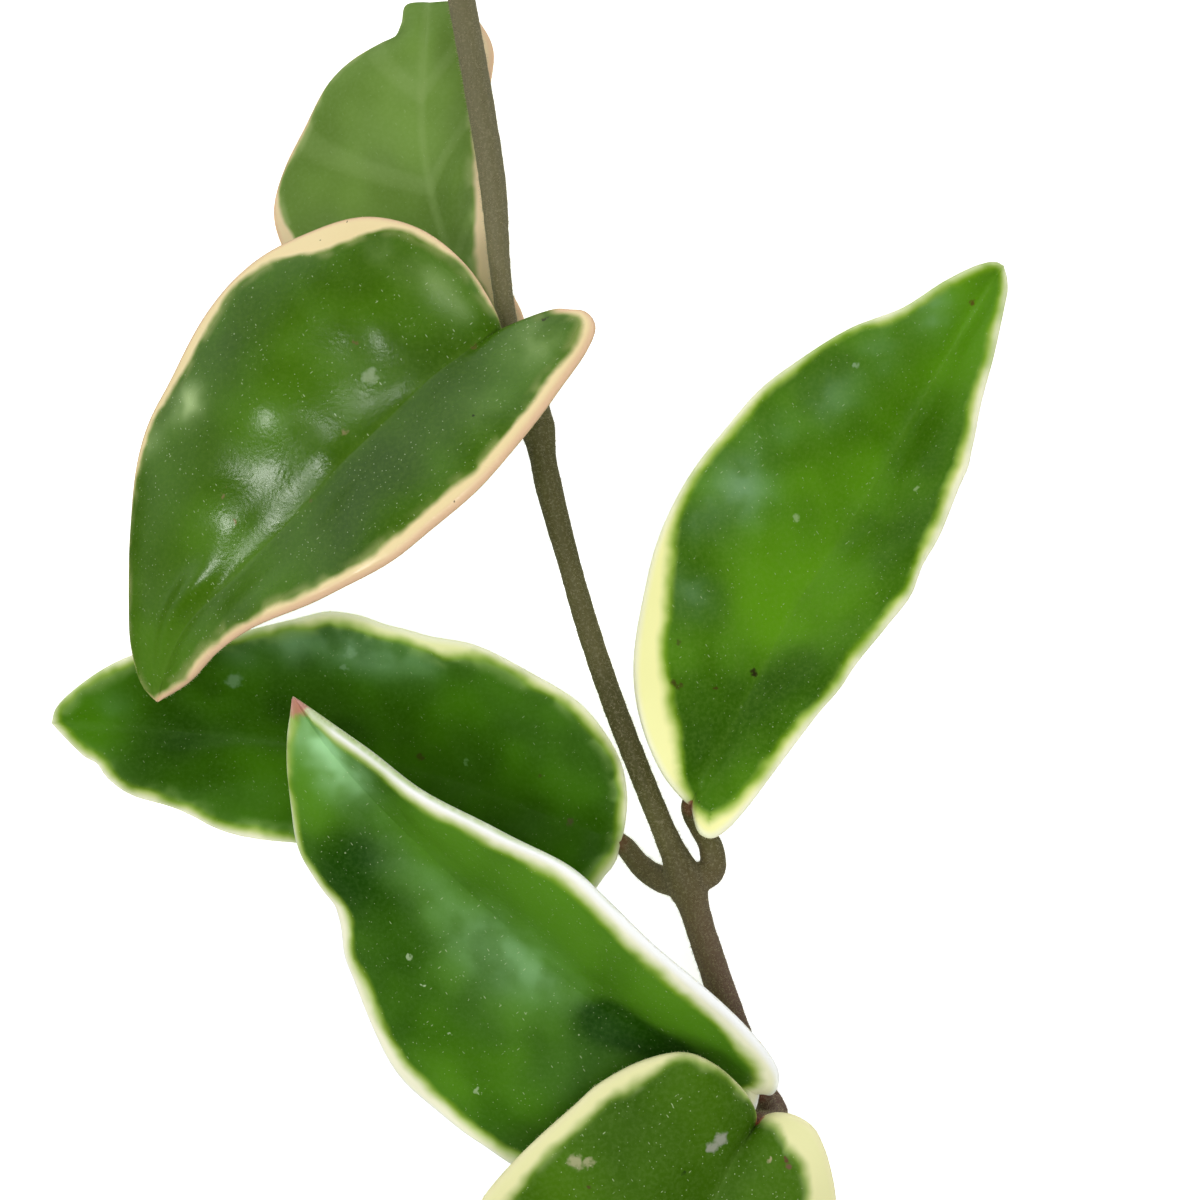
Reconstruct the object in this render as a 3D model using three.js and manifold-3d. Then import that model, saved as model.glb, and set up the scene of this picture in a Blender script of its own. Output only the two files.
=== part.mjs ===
// A cut sprig of krimson queen hoya, a climbing wax plant with cream-edged leaves, lying on a flat surface.
// One stem with its leaf stalks grown on carries three pairs of thick leaves at its three joints.
// Millimetres. +Z is up, and +Y runs up the vine from the old cut end to the young one.
import * as THREE from "three";
import { mergeVertices } from "three/addons/utils/BufferGeometryUtils.js";
import Module from "manifold-3d";

// Places are laid out as they look from straight above. An eye EYE_HEIGHT over the surface sees the point
// [x, y, z] against the level LAYOUT_HEIGHT at x, y, so a change of height never shifts the look from above.
const EYE_HEIGHT = 265;
const LAYOUT_HEIGHT = 15;

const BLADE_THICKNESS = 1.5;
const MARGIN_ROUNDING = 0.9; // distance in from the margin over which the blade is rounded off
const END_TAPER = 2.5; // half-width below which the blade thins towards its tip and its base
const KEEL_DEPTH = 0.9; // midrib standing out below the blade at its base
const KEEL_WIDTH = 1.5;
const FURROW_DEPTH = 0.35; // midrib sunk into the upper face
const FURROW_WIDTH = 1.4;
const CREASE_WIDTH = 3; // over which the two halves' directions turn into each other beside the midrib
const VEIN_PAIRS = 5; // side veins, with a low pillow of blade between each two
const VEIN_SLANT = 0.6; // how far a side vein runs towards the tip, in spaces between veins
const PILLOW_HEIGHT = 0.3;
const STALK_RADIUS = 1.4;
const STALK_FLARE = 0.8; // extra radius of a stalk where it leaves the stem
const STALK_END_RADIUS = 0.8;
const STALK_END_TAPER = 0.15; // share of a stalk's length over which it narrows to its end
const JOINT_GAP = 0.35; // between a stalk's end and the blade it carries
const FITTING_STEP = 0.02;
const KNUCKLE_RISE = 0.7; // swelling of the stem at a joint
const KNUCKLE_LENGTH = 2.6;

const BLADE_ROWS = 26;
const ROW_CROWDING = 0.09; // how much closer together the rows stand towards base and tip
const RIB_LAG = 1.25; // power by which a row's place on the midrib lags behind its place on the margins
const SWELL_SHARPNESS = 0.7; // power by which the crown rises from the blade's two ends
const THINNING_SHARPNESS = 0.7;
const BLADE_COLUMNS = [0, 0.16, 0.42, 0.7, 1]; // shares of the way from the midrib to the rounded margin
const MARGIN_COLUMNS = [0.3, 0]; // distances from the margin, as shares of its rounding
const STEM_SIDES = 14;
const STEM_RINGS = 56;
const STALK_SIDES = 12;
const STALK_RINGS = 9;
const SLOPE_STEP = 0.004; // share of a blade over which its slope is measured
const STEADY_ENDS = 0.1; // share of a blade at each end where that slope is held

const UPPER_JOINT = [-7.9, 21.9, 16];
const MIDDLE_JOINT = [10.7, -35.2, 11];
const LOWER_JOINT = [20.8, -64, 6];

// The stem from its young cut end down to its old one: [x, y, z, radius]
const STEM = [
  [-19.2, 86.5, 17.5, 1.7],
  [-17.3, 75, 18, 1.7],
  [-15.2, 63.5, 18, 1.7],
  [-13.4, 52, 18, 1.65],
  [-12.4, 40.5, 17.5, 1.3],
  [-11.4, 34, 17, 1.2],
  [...UPPER_JOINT, 1.5],
  [-6.6, 15, 15.5, 1.7],
  [-3.8, 4.4, 15, 1.4],
  [-1.4, -3.9, 14.5, 1.45],
  [1.7, -13, 13.8, 1.45],
  [5.4, -22.5, 12.8, 1.45],
  [7.9, -28.6, 12, 1.5],
  [...MIDDLE_JOINT, 1.9],
  [12.9, -42.2, 10, 1.85],
  [15.2, -49, 8.8, 1.9],
  [17.2, -54.5, 7.8, 1.9],
  [...LOWER_JOINT, 2],
  [24.6, -73.5, 3.8, 2],
  [27, -83, 1.8, 2.05],
];

// Each leaf: the joint it grows from, the points its stalk passes, the midrib from stalk to tip, and the
// left and right margins between those two ends, seen from the base with the upper face on top.
// crown is how far the left and right halves bulge up between midrib and margin.
const LEAVES = {
  upper_back_leaf: {
    joint: UPPER_JOINT,
    stalk: [
      [-8.6, 25, 12.5],
      [-10, 27.6, 9],
    ],
    midrib: [
      [-11.9, 29.3, 6.6],
      [-13, 31.6, 7.2],
      [-16, 37.5, 6.8],
      [-20.5, 50, 5],
      [-22, 61.3, 6],
      [-21.8, 69.4, 6.5],
      [-21.3, 74.3, 4.3],
      [-20.5, 73.4, 1],
    ],
    left: [
      [-16.3, 26.5, 6],
      [-25, 26.9, 4],
      [-34.4, 35, 1.2],
      [-39.8, 44.9, 0.1],
      [-40.4, 48.6, 0],
      [-39.1, 54, 0.4],
      [-36.8, 58.9, 1.2],
      [-33.9, 64.2, 2.2],
      [-31, 67, 2.5],
      [-27.8, 68.7, 2.8],
      [-25.6, 69.5, 3],
      [-24.6, 71.5, 3.2],
      [-24, 74, 2.8],
    ],
    right: [
      [-8.8, 31, 7.5],
      [-9.6, 35.5, 9],
      [-11.9, 40.5, 9],
      [-13.2, 48.8, 8.6],
      [-13.8, 57.5, 8],
      [-13.7, 63.8, 7.5],
      [-13.3, 68.6, 6.5],
      [-14.8, 71.8, 5.5],
      [-17.5, 74.3, 3.6],
    ],
    crown: [1.2, 0.8],
  },
  upper_front_leaf: {
    joint: UPPER_JOINT,
    stalk: [
      [-8.4, 25.6, 18.6],
      [-9.9, 30, 19.6],
    ],
    midrib: [
      [-11.9, 32.6, 20.8],
      [-12.6, 32.7, 21.9],
      [-14.9, 31.8, 23],
      [-20.6, 27.6, 24.2],
      [-31, 17.3, 24.5],
      [-42.3, 6.9, 22.5],
      [-51.3, -3.5, 18.5],
      [-55.3, -12.8, 13],
    ],
    left: [
      [-4.9, 35.9, 25.3],
      [-1.6, 36, 26],
      [-0.2, 34.3, 27],
      [-1.1, 31.2, 28],
      [-5.3, 25.6, 30],
      [-10.3, 19.4, 32],
      [-16.1, 12.8, 33],
      [-24.4, 5.6, 32.5],
      [-34.3, 0.3, 30],
      [-43.4, -3.5, 26],
      [-47.6, -6.4, 22.5],
      [-51.3, -10.3, 17.5],
    ],
    right: [
      [-13.1, 35.8, 22.5],
      [-16.9, 41.8, 23],
      [-22.6, 46.3, 22.5],
      [-29.4, 47.8, 21.5],
      [-36.8, 45.6, 20],
      [-43.4, 41.9, 19],
      [-48.9, 35.9, 18],
      [-53.8, 26.4, 16.5],
      [-57.3, 18.1, 15.5],
      [-58.3, 8.6, 14.5],
      [-58.5, 0, 13.5],
      [-58.2, -5.6, 13],
      [-56.9, -10.5, 12.8],
    ],
    crown: [1.2, 2.4],
  },
  middle_left_leaf: {
    joint: MIDDLE_JOINT,
    stalk: [
      [7.5, -36.1, 9],
      [4.9, -34.7, 7],
    ],
    midrib: [
      [2.6, -30.3, 7.2],
      [0, -29.1, 8.6],
      [-8.3, -26.1, 6.5],
      [-15.6, -23.3, 4],
      [-27.5, -19.8, 1.8],
      [-40, -17.5, 1.2],
      [-55, -16, 2.2],
      [-68.6, -15.4, 5.2],
    ],
    left: [
      [1.9, -32.8, 9],
      [0.6, -34.5, 9.5],
      [-1.5, -36.9, 9],
      [-7.5, -38.1, 8],
      [-17.5, -36.6, 6.5],
      [-28.8, -32.8, 5.5],
      [-37.6, -30.1, 5],
      [-45.3, -29.1, 5],
      [-51.3, -26.6, 5],
      [-57.6, -24, 5],
      [-62, -21.5, 5],
      [-65.3, -18.8, 5],
    ],
    right: [
      [3.1, -28.3, 9],
      [3.4, -24.4, 9.5],
      [2.4, -19.8, 9],
      [-1.3, -14.6, 8.5],
      [-8.3, -9.4, 8],
      [-15.6, -5.6, 7.5],
      [-21.6, -4.4, 7.5],
      [-26.3, -2.8, 7.5],
      [-30.5, -1.8, 7.5],
      [-37.5, -2.3, 7.5],
      [-46.3, -4.3, 7],
      [-53.8, -5.6, 7],
      [-60, -7.5, 6.5],
      [-65, -10.6, 6],
      [-68, -13.5, 5.5],
    ],
    crown: [1, 1.2],
  },
  middle_right_leaf: {
    joint: MIDDLE_JOINT,
    stalk: [
      [13.2, -33.8, 10],
      [13.4, -31, 9.8],
    ],
    midrib: [
      [11.3, -25.8, 12],
      [12.5, -22.9, 13.5],
      [16.9, -15.1, 11],
      [24, -1.6, 5.5],
      [33.6, 13.1, 1.3],
      [42.3, 28.5, 1.3],
      [50.5, 41.8, 4],
    ],
    left: [
      [10, -24.6, 14],
      [7.8, -21.8, 15],
      [5.6, -16.9, 14.5],
      [4.3, -11.3, 13.5],
      [4.3, -5, 12],
      [5.6, 2.9, 10.5],
      [8.3, 10.3, 9.5],
      [12.5, 17.5, 8.5],
      [20.3, 26, 8],
      [25.5, 30.4, 7.5],
      [31.3, 34, 7],
      [37.9, 36.6, 6.5],
      [43.1, 39.9, 5.5],
      [47, 41.8, 4.8],
      [49.4, 42.3, 4.3],
    ],
    right: [
      [12.5, -29.3, 16],
      [14, -29.8, 16.5],
      [15.8, -28.8, 16.5],
      [18.3, -26.1, 16],
      [22.6, -20.4, 15],
      [31.3, -8.9, 13],
      [36, -3.1, 12],
      [40, 2.1, 11],
      [43.6, 10.8, 9.5],
      [46.6, 19.4, 8.5],
      [47.6, 24.4, 7.5],
      [49.3, 31, 6.5],
      [50.5, 36.5, 5.5],
      [51, 39.5, 4.8],
    ],
    crown: [1.5, 1],
  },
  lower_left_leaf: {
    joint: LOWER_JOINT,
    stalk: [
      [20.8, -64.2, 9.4],
    ],
    midrib: [
      [20, -61.5, 12.3],
      [18.1, -60, 14],
      [11.5, -56, 15.3],
      [1, -50.1, 16],
      [-7.5, -43.1, 16.5],
      [-17.6, -33.6, 17.5],
      [-28.1, -23.8, 19.3],
      [-38.4, -12, 22.5],
    ],
    left: [
      [19.2, -63.6, 14.5],
      [16.5, -66.8, 15.5],
      [11.5, -69.8, 15.5],
      [5, -71.8, 15],
      [-2.5, -72.5, 14.5],
      [-10.9, -70.4, 14],
      [-20.1, -63.6, 13.5],
      [-26.5, -56, 13.5],
      [-29.9, -48.9, 13.5],
      [-31.9, -40.6, 14],
      [-35.3, -34.3, 15.3],
      [-37.5, -29.4, 16.5],
      [-38.4, -21.9, 18.5],
      [-38.5, -16.4, 20.5],
    ],
    right: [
      [21.8, -61.4, 14.5],
      [22.4, -59.5, 17],
      [21.5, -57.3, 19.5],
      [18.4, -53.5, 22.5],
      [12.4, -47.8, 25.5],
      [6.5, -42.5, 27.5],
      [1, -37.3, 28.5],
      [-3.8, -33, 29],
      [-12.5, -28.8, 28.5],
      [-22.3, -23.9, 27],
      [-29.4, -18.6, 25.5],
      [-35, -14.6, 24],
    ],
    crown: [2, 1],
  },
  bottom_leaf: {
    joint: LOWER_JOINT,
    stalk: [
      [21.4, -64.9, 9.5],
      [21.3, -65.4, 13.5],
    ],
    midrib: [
      [19.6, -65.3, 17.5],
      [18.5, -66.6, 19.5],
      [16, -70.9, 21.5],
      [11.3, -80.6, 22.5],
      [3.8, -96.3, 19],
      [-4.4, -112.5, 9],
      [-11.9, -125.6, 0.1],
    ],
    left: [
      [21, -64.2, 19],
      [23, -63.9, 20.6],
      [25.2, -64.4, 21.6],
      [27.3, -65.8, 22.2],
      [28.6, -68.3, 22.5],
      [29.4, -72, 22.5],
      [29.6, -76.3, 22],
      [28.5, -85, 20.5],
      [24.8, -95, 17],
      [18.1, -105, 12.5],
      [8.8, -114.4, 6.4],
      [-2.5, -121.9, 2],
    ],
    right: [
      [18.8, -62.8, 19.5],
      [17.3, -60.6, 21.5],
      [14, -57.8, 23],
      [10.6, -56.5, 23.8],
      [5.6, -57.4, 24],
      [-0.3, -60.5, 24],
      [-3.1, -63, 24],
      [-7.6, -67, 24],
      [-11.5, -70.9, 23.5],
      [-15, -75.3, 23],
      [-17.8, -82.5, 21.5],
      [-19.4, -91.3, 18.5],
      [-19.6, -101.3, 14],
      [-17.8, -112.5, 6.8],
      [-15, -120.6, 2.2],
    ],
    crown: [1.5, 2],
  },
};

const BARK = new THREE.MeshStandardMaterial({ color: 0x6a5a45, roughness: 0.8, metalness: 0 });
const BLADE = new THREE.MeshStandardMaterial({ color: 0x3f7a1e, roughness: 0.35, metalness: 0 });

const manifold = await Module();
manifold.setup();

// The real place of a point that is laid out as it looks from above.
function placed([x, y, z]) {
  const nearness = (EYE_HEIGHT - z) / (EYE_HEIGHT - LAYOUT_HEIGHT);
  return new THREE.Vector3(x * nearness, y * nearness, z);
}

function smoothCurve(points) {
  return new THREE.CatmullRomCurve3(points, false, "centripetal");
}

// Shares from 0 to 1, closer together towards both ends.
function rowShare(row) {
  const share = row / BLADE_ROWS;
  return share - ROW_CROWDING * Math.sin(2 * Math.PI * share);
}

function bell(distance, width) {
  return Math.exp(-((distance / width) ** 2));
}

// A closed skin over rings that all hold the same number of points, its two ends closed by points.
// swapped(i) tells which of the strips along has its squares split along the other diagonal.
function skin(rings, startPoint, endPoint, swapped = () => false) {
  const count = rings[0].length;
  const positions = [...rings.flat(), startPoint, endPoint].flatMap((p) => [p.x, p.y, p.z]);
  const start = rings.length * count;
  const faces = [];
  for (let i = 0; i < count; i++) {
    const next = (i + 1) % count;
    faces.push(start, next, i);
    for (let r = 0; r + 1 < rings.length; r++) {
      const [a, b] = [r * count + i, r * count + next];
      const [c, d] = [a + count, b + count];
      faces.push(...(swapped(i) ? [a, b, d, a, d, c] : [a, b, c, b, d, c]));
    }
    const last = (rings.length - 1) * count;
    faces.push(start + 1, last + i, last + next);
  }
  const geometry = new THREE.BufferGeometry();
  geometry.setAttribute("position", new THREE.Float32BufferAttribute(positions, 3));
  geometry.setIndex(faces);
  return geometry;
}

// A round rod along a curve with flat ends. radiusAt takes the share of its length.
function rod(curve, radiusAt, sides, ringCount) {
  const frames = curve.computeFrenetFrames(ringCount, false);
  const rings = [];
  for (let r = 0; r <= ringCount; r++) {
    const centre = curve.getPointAt(r / ringCount);
    const radius = radiusAt(r / ringCount);
    const ring = [];
    for (let i = 0; i < sides; i++) {
      const angle = (2 * Math.PI * i) / sides;
      ring.push(
        centre
          .clone()
          .addScaledVector(frames.normals[r], radius * Math.cos(angle))
          .addScaledVector(frames.binormals[r], radius * Math.sin(angle)),
      );
    }
    rings.push(ring);
  }
  return skin(rings, curve.getPointAt(0), curve.getPointAt(1));
}

// What a leaf's shape is worked out from: its three curves, their ends and the way its upper face looks.
function leafCurves({ midrib, left, right }) {
  const rib = smoothCurve(midrib.map(placed));
  const base = rib.getPointAt(0);
  const tip = rib.getPointAt(1);
  const margins = [left, right].map((points) => smoothCurve([base, ...points.map(placed), tip]));
  const across = margins[1].getPointAt(0.5).sub(margins[0].getPointAt(0.5));
  const upward = across.cross(tip.clone().sub(base)).normalize();
  return { rib, base, tip, upward, margins };
}

// The middle of the blade's thickness at share u of its length and share v from the midrib to a margin.
// half is 0 on the left and 1 on the right.
function bladeMiddle({ rib, margins, upward }, crown, half, u, v) {
  const ribPoint = rib.getPointAt(u ** RIB_LAG);
  const marginPoint = margins[half].getPointAt(u);
  const width = ribPoint.distanceTo(marginPoint);
  const swell = Math.sin(Math.PI * u) ** SWELL_SHARPNESS;
  const arch = 4 * v * (1 - v);
  const pillow = Math.sin(2 * Math.PI * (VEIN_PAIRS * u - VEIN_SLANT * v)) * PILLOW_HEIGHT;
  const furrow = FURROW_DEPTH * bell(v * width, FURROW_WIDTH);
  const lift = swell * (arch * (crown[half] + pillow) - furrow);
  return { point: ribPoint.lerp(marginPoint, v).addScaledVector(upward, lift), width };
}

// The direction across the thickness of one half of the blade.
function halfNormal(curves, crown, half, u, v) {
  const steady = Math.min(Math.max(u, STEADY_ENDS), 1 - STEADY_ENDS);
  const at = (a, b) => bladeMiddle(curves, crown, half, a, b).point;
  const along = at(steady + SLOPE_STEP, v).sub(at(steady - SLOPE_STEP, v));
  const outward = at(steady, Math.min(v + SLOPE_STEP, 1)).sub(at(steady, Math.max(v - SLOPE_STEP, 0)));
  const normal = half === 0 ? along.cross(outward) : outward.cross(along);
  return normal.normalize();
}

// The ring of points round one cross-section of a blade, from its left margin over the upper face to the
// right margin and back along the lower face.
function bladeRing(curves, crown, u) {
  const upper = [[], []];
  const lower = [[], []];
  const ribNormal = halfNormal(curves, crown, 0, u, 0).add(halfNormal(curves, crown, 1, u, 0));
  for (const half of [0, 1]) {
    const { width } = bladeMiddle(curves, crown, half, u, 1);
    const rounding = MARGIN_ROUNDING * Math.min(1, width / END_TAPER);
    const shares = [
      ...BLADE_COLUMNS.map((share) => share * (1 - rounding / width)),
      ...MARGIN_COLUMNS.map((share) => 1 - (share * rounding) / width),
    ];
    for (const v of shares) {
      const { point } = bladeMiddle(curves, crown, half, u, v);
      const beside = Math.min(1, (v * width) / CREASE_WIDTH);
      const normal = ribNormal.clone().normalize();
      normal.lerp(halfNormal(curves, crown, half, u, v), beside).normalize();
      const inside = Math.min(1, ((1 - v) * width) / rounding);
      const thinning = Math.min(1, width / END_TAPER) ** THINNING_SHARPNESS;
      const depth = (BLADE_THICKNESS / 2) * thinning * Math.sqrt(1 - (1 - inside) ** 2);
      const keel = KEEL_DEPTH * (1 - u) * bell(v * width, KEEL_WIDTH) * thinning * inside;
      upper[half].push(point.clone().addScaledVector(normal, depth));
      lower[half].push(point.addScaledVector(normal, -depth - keel));
    }
  }
  return [
    ...upper[0].toReversed(),
    ...upper[1].slice(1),
    ...lower[1].slice(0, -1).toReversed(),
    ...lower[0].slice(1, -1),
  ];
}

// One blade. Both of its faces split into the same triangles, so they never meet.
function blade(leaf) {
  const curves = leafCurves(leaf);
  const rings = [];
  for (let r = 1; r < BLADE_ROWS; r++) rings.push(bladeRing(curves, leaf.crown, rowShare(r)));
  const upperCount = 2 * (BLADE_COLUMNS.length + MARGIN_COLUMNS.length) - 2;
  return skin(rings, curves.base, curves.tip, (i) => i >= upperCount);
}

// The stem's radius at share s of its length, swollen at the joints.
function stemRadius(curve, s) {
  const station = curve.getUtoTmapping(s) * (STEM.length - 1);
  const before = Math.min(Math.floor(station), STEM.length - 2);
  const plain = THREE.MathUtils.lerp(STEM[before][3], STEM[before + 1][3], station - before);
  const centre = curve.getPointAt(s);
  const distances = [UPPER_JOINT, MIDDLE_JOINT, LOWER_JOINT].map((joint) => placed(joint).distanceTo(centre));
  return plain + KNUCKLE_RISE * bell(Math.min(...distances), KNUCKLE_LENGTH);
}

// A leaf stalk, sunk into the stem at its joint and ending the given distance short of its blade's base.
function stalk(leaf, shortfall) {
  const points = [leaf.joint, ...leaf.stalk].map(placed);
  const base = placed(leaf.midrib[0]);
  const backward = points.at(-1).clone().sub(base).normalize();
  const curve = smoothCurve([...points, base.addScaledVector(backward, shortfall)]);
  const radiusAt = (s) => {
    const narrowing = Math.max(0, (s - 1 + STALK_END_TAPER) / STALK_END_TAPER);
    return STALK_RADIUS + STALK_FLARE * (1 - s) ** 3 - (STALK_RADIUS - STALK_END_RADIUS) * narrowing ** 2;
  };
  return rod(curve, radiusAt, STALK_SIDES, STALK_RINGS);
}

// The same stalk as a solid, drawn back until it keeps JOINT_GAP to the whole of its blade.
function fittedStalk(leaf, bladeSolid) {
  let shortfall = JOINT_GAP;
  while (solidOf(stalk(leaf, shortfall)).minGap(bladeSolid, 2 * JOINT_GAP) < JOINT_GAP) {
    shortfall += FITTING_STEP;
  }
  return solidOf(stalk(leaf, shortfall));
}

function solidOf(geometry) {
  const bare = geometry.clone();
  bare.deleteAttribute("normal");
  bare.deleteAttribute("uv");
  const merged = mergeVertices(bare, 1e-4);
  return new manifold.Manifold(
    new manifold.Mesh({
      numProp: 3,
      vertProperties: merged.attributes.position.array,
      triVerts: new Uint32Array(merged.index.array),
    }),
  );
}

function geometryOf(solid) {
  const { vertProperties, triVerts } = solid.getMesh();
  const geometry = new THREE.BufferGeometry();
  geometry.setAttribute("position", new THREE.Float32BufferAttribute(vertProperties, 3));
  geometry.setIndex([...triVerts]);
  geometry.computeVertexNormals();
  return geometry;
}

// What lies below the surface is pressed flat, which leaves the small level spots the sprig rests on.
const underSurface = solidOf(new THREE.BoxGeometry(500, 500, 40).translate(0, 0, -20));

function part(name, solid, material) {
  const mesh = new THREE.Mesh(geometryOf(solid.subtract(underSurface)), material);
  mesh.name = name;
  return mesh;
}

const sprig = new THREE.Group();
const stemCurve = smoothCurve(STEM.map(placed));
let stem = solidOf(rod(stemCurve, (s) => stemRadius(stemCurve, s), STEM_SIDES, STEM_RINGS));
for (const [name, leaf] of Object.entries(LEAVES)) {
  const bladeSolid = solidOf(blade(leaf));
  stem = stem.add(fittedStalk(leaf, bladeSolid));
  sprig.add(part(name, bladeSolid, BLADE));
}
sprig.add(part("stem", stem, BARK));

// The origin is the middle of the sprig's outline, on the surface.
const middle = new THREE.Box3().setFromObject(sprig).getCenter(new THREE.Vector3());
sprig.position.set(-middle.x, -middle.y, 0);

export default sprig;
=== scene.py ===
"""The looks of a cut sprig of variegated hoya, a climbing wax plant, lying on a pale surface.

Sizes are in millimetres, turned to metres where a mesh is made. The blades and the stem repeat the routes and
formulas of the part's own source, drawn much finer, and add the cream margins, flecks, scars and short hairs.
"""
import math

import bpy
import numpy as np
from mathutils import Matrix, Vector


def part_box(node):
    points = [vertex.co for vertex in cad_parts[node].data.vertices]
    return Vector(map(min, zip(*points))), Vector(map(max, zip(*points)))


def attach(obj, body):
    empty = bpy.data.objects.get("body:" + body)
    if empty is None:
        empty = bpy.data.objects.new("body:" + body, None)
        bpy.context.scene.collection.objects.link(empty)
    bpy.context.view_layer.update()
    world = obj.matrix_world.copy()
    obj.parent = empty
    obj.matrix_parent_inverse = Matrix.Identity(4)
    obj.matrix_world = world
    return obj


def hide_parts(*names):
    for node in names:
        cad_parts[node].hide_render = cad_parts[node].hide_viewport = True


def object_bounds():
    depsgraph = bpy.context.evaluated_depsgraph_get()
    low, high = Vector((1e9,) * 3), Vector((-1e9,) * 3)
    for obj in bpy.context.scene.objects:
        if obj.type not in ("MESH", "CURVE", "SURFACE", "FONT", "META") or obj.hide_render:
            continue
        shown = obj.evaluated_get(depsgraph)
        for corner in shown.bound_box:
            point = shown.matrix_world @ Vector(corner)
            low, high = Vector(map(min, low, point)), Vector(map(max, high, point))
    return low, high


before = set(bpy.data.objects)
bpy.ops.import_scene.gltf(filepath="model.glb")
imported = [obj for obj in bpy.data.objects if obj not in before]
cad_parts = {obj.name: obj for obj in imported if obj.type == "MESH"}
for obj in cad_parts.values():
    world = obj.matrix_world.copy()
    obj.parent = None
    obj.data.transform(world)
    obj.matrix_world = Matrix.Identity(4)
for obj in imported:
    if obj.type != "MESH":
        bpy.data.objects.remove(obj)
packed_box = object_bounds()

SEED = 11

# The eye of the layout, as in the part's source: a point [x, y, z] is given as seen from EYE_HEIGHT straight
# above, at its true place only where z is LAYOUT_HEIGHT.
EYE_HEIGHT = 265.0
LAYOUT_HEIGHT = 15.0
FOCAL_LENGTH = 60.0
SENSOR_WIDTH = 36.0

BLADE_THICKNESS = 1.5
MARGIN_ROUNDING = 0.9
END_TAPER = 2.5
KEEL_DEPTH = 0.9
KEEL_WIDTH = 1.5
FURROW_DEPTH = 0.35
FURROW_WIDTH = 1.4
GROOVE_DEPTH = 0.05  # the fine line in the middle of the furrow
GROOVE_WIDTH = 0.3
CREASE_WIDTH = 3.0
VEIN_PAIRS = 5
VEIN_SLANT = 0.6
PILLOW_HEIGHT = 0.3
RIB_LAG = 1.25
SWELL_SHARPNESS = 0.7
THINNING_SHARPNESS = 0.7
ROW_CROWDING = 0.09
COLUMN_CROWDING = 1.4
FOLD_SHARE = 0.6  # of the narrower half's width, the most that a fold's rounding takes
SLOPE_STEP = 0.004
CURVE_STEPS = 200
STEADY_ENDS = 0.1
PLAIN_SHADE = 0.5  # halfway between the deep green and the bright one

STALK_RADIUS = 1.4
STALK_FLARE = 0.8
STALK_TAPER = 0.5
STALK_DROP = 0.7  # how far the stalk's end runs below the midrib, into the keel
KNUCKLE_RISE = 0.7
KNUCKLE_LENGTH = 2.6

BLADE_ROWS = 190
BLADE_COLUMNS = 42
ROUNDING_COLUMNS = 6
MARGIN_STATIONS = 500
RIPPLE_HEIGHT = 0.08  # low uneven waves of the upper face
RIPPLE_LENGTH = 5.5
STEM_SIDES = 40
STEM_RINGS = 500
STEM_STATIONS = 4000
STALK_RINGS = 40
STEM_VOXEL = 0.2
STEM_SMOOTHING = 4
BARK_RELIEF = 0.02
BARK_LUMPS = (0.9, 0.5)
FINE_LUMPS = 0.6  # how high the finer lumps are beside the coarser ones

STEM_HAIRS = 14000
STEM_HAIR_LENGTH = (0.25, 0.6)
MARGIN_HAIRS_PER_MM = 5
MARGIN_HAIR_LENGTH = (0.12, 0.35)
HAIR_RADIUS = 0.02
HAIR_SINK = 0.05
HAIR_STRAY = 0.45
FRINGE = (0.02, 0.99)  # the shares of a margin between which it has a fringe
FRINGE_AIM = 0.97  # the share of a half's width that the fringe points away from
HUMP_WAVES = 24  # the waves that add up to uneven humps
HUMP_SPREAD = (0.6, 1.5)  # how much further apart or closer together than asked for they run

UPPER_JOINT = [-7.9, 21.9, 16]
MIDDLE_JOINT = [10.7, -35.2, 11]
LOWER_JOINT = [20.8, -64, 6]

# The stem from its young cut end down to its old one: [x, y, z, radius]
STEM = [
    [-19.2, 86.5, 17.5, 1.7],
    [-17.3, 75, 18, 1.7],
    [-15.2, 63.5, 18, 1.7],
    [-13.4, 52, 18, 1.65],
    [-12.4, 40.5, 17.5, 1.3],
    [-11.4, 34, 17, 1.2],
    [*UPPER_JOINT, 1.5],
    [-6.6, 15, 15.5, 1.7],
    [-3.8, 4.4, 15, 1.4],
    [-1.4, -3.9, 14.5, 1.45],
    [1.7, -13, 13.8, 1.45],
    [5.4, -22.5, 12.8, 1.45],
    [7.9, -28.6, 12, 1.5],
    [*MIDDLE_JOINT, 1.9],
    [12.9, -42.2, 10, 1.85],
    [15.2, -49, 8.8, 1.9],
    [17.2, -54.5, 7.8, 1.9],
    [*LOWER_JOINT, 2],
    [24.6, -73.5, 3.8, 2],
    [27, -83, 1.8, 2.05],
]

NO_EDGING = [[0, -1], [1, -1]]
NO_EDGINGS = [NO_EDGING, NO_EDGING]

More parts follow.
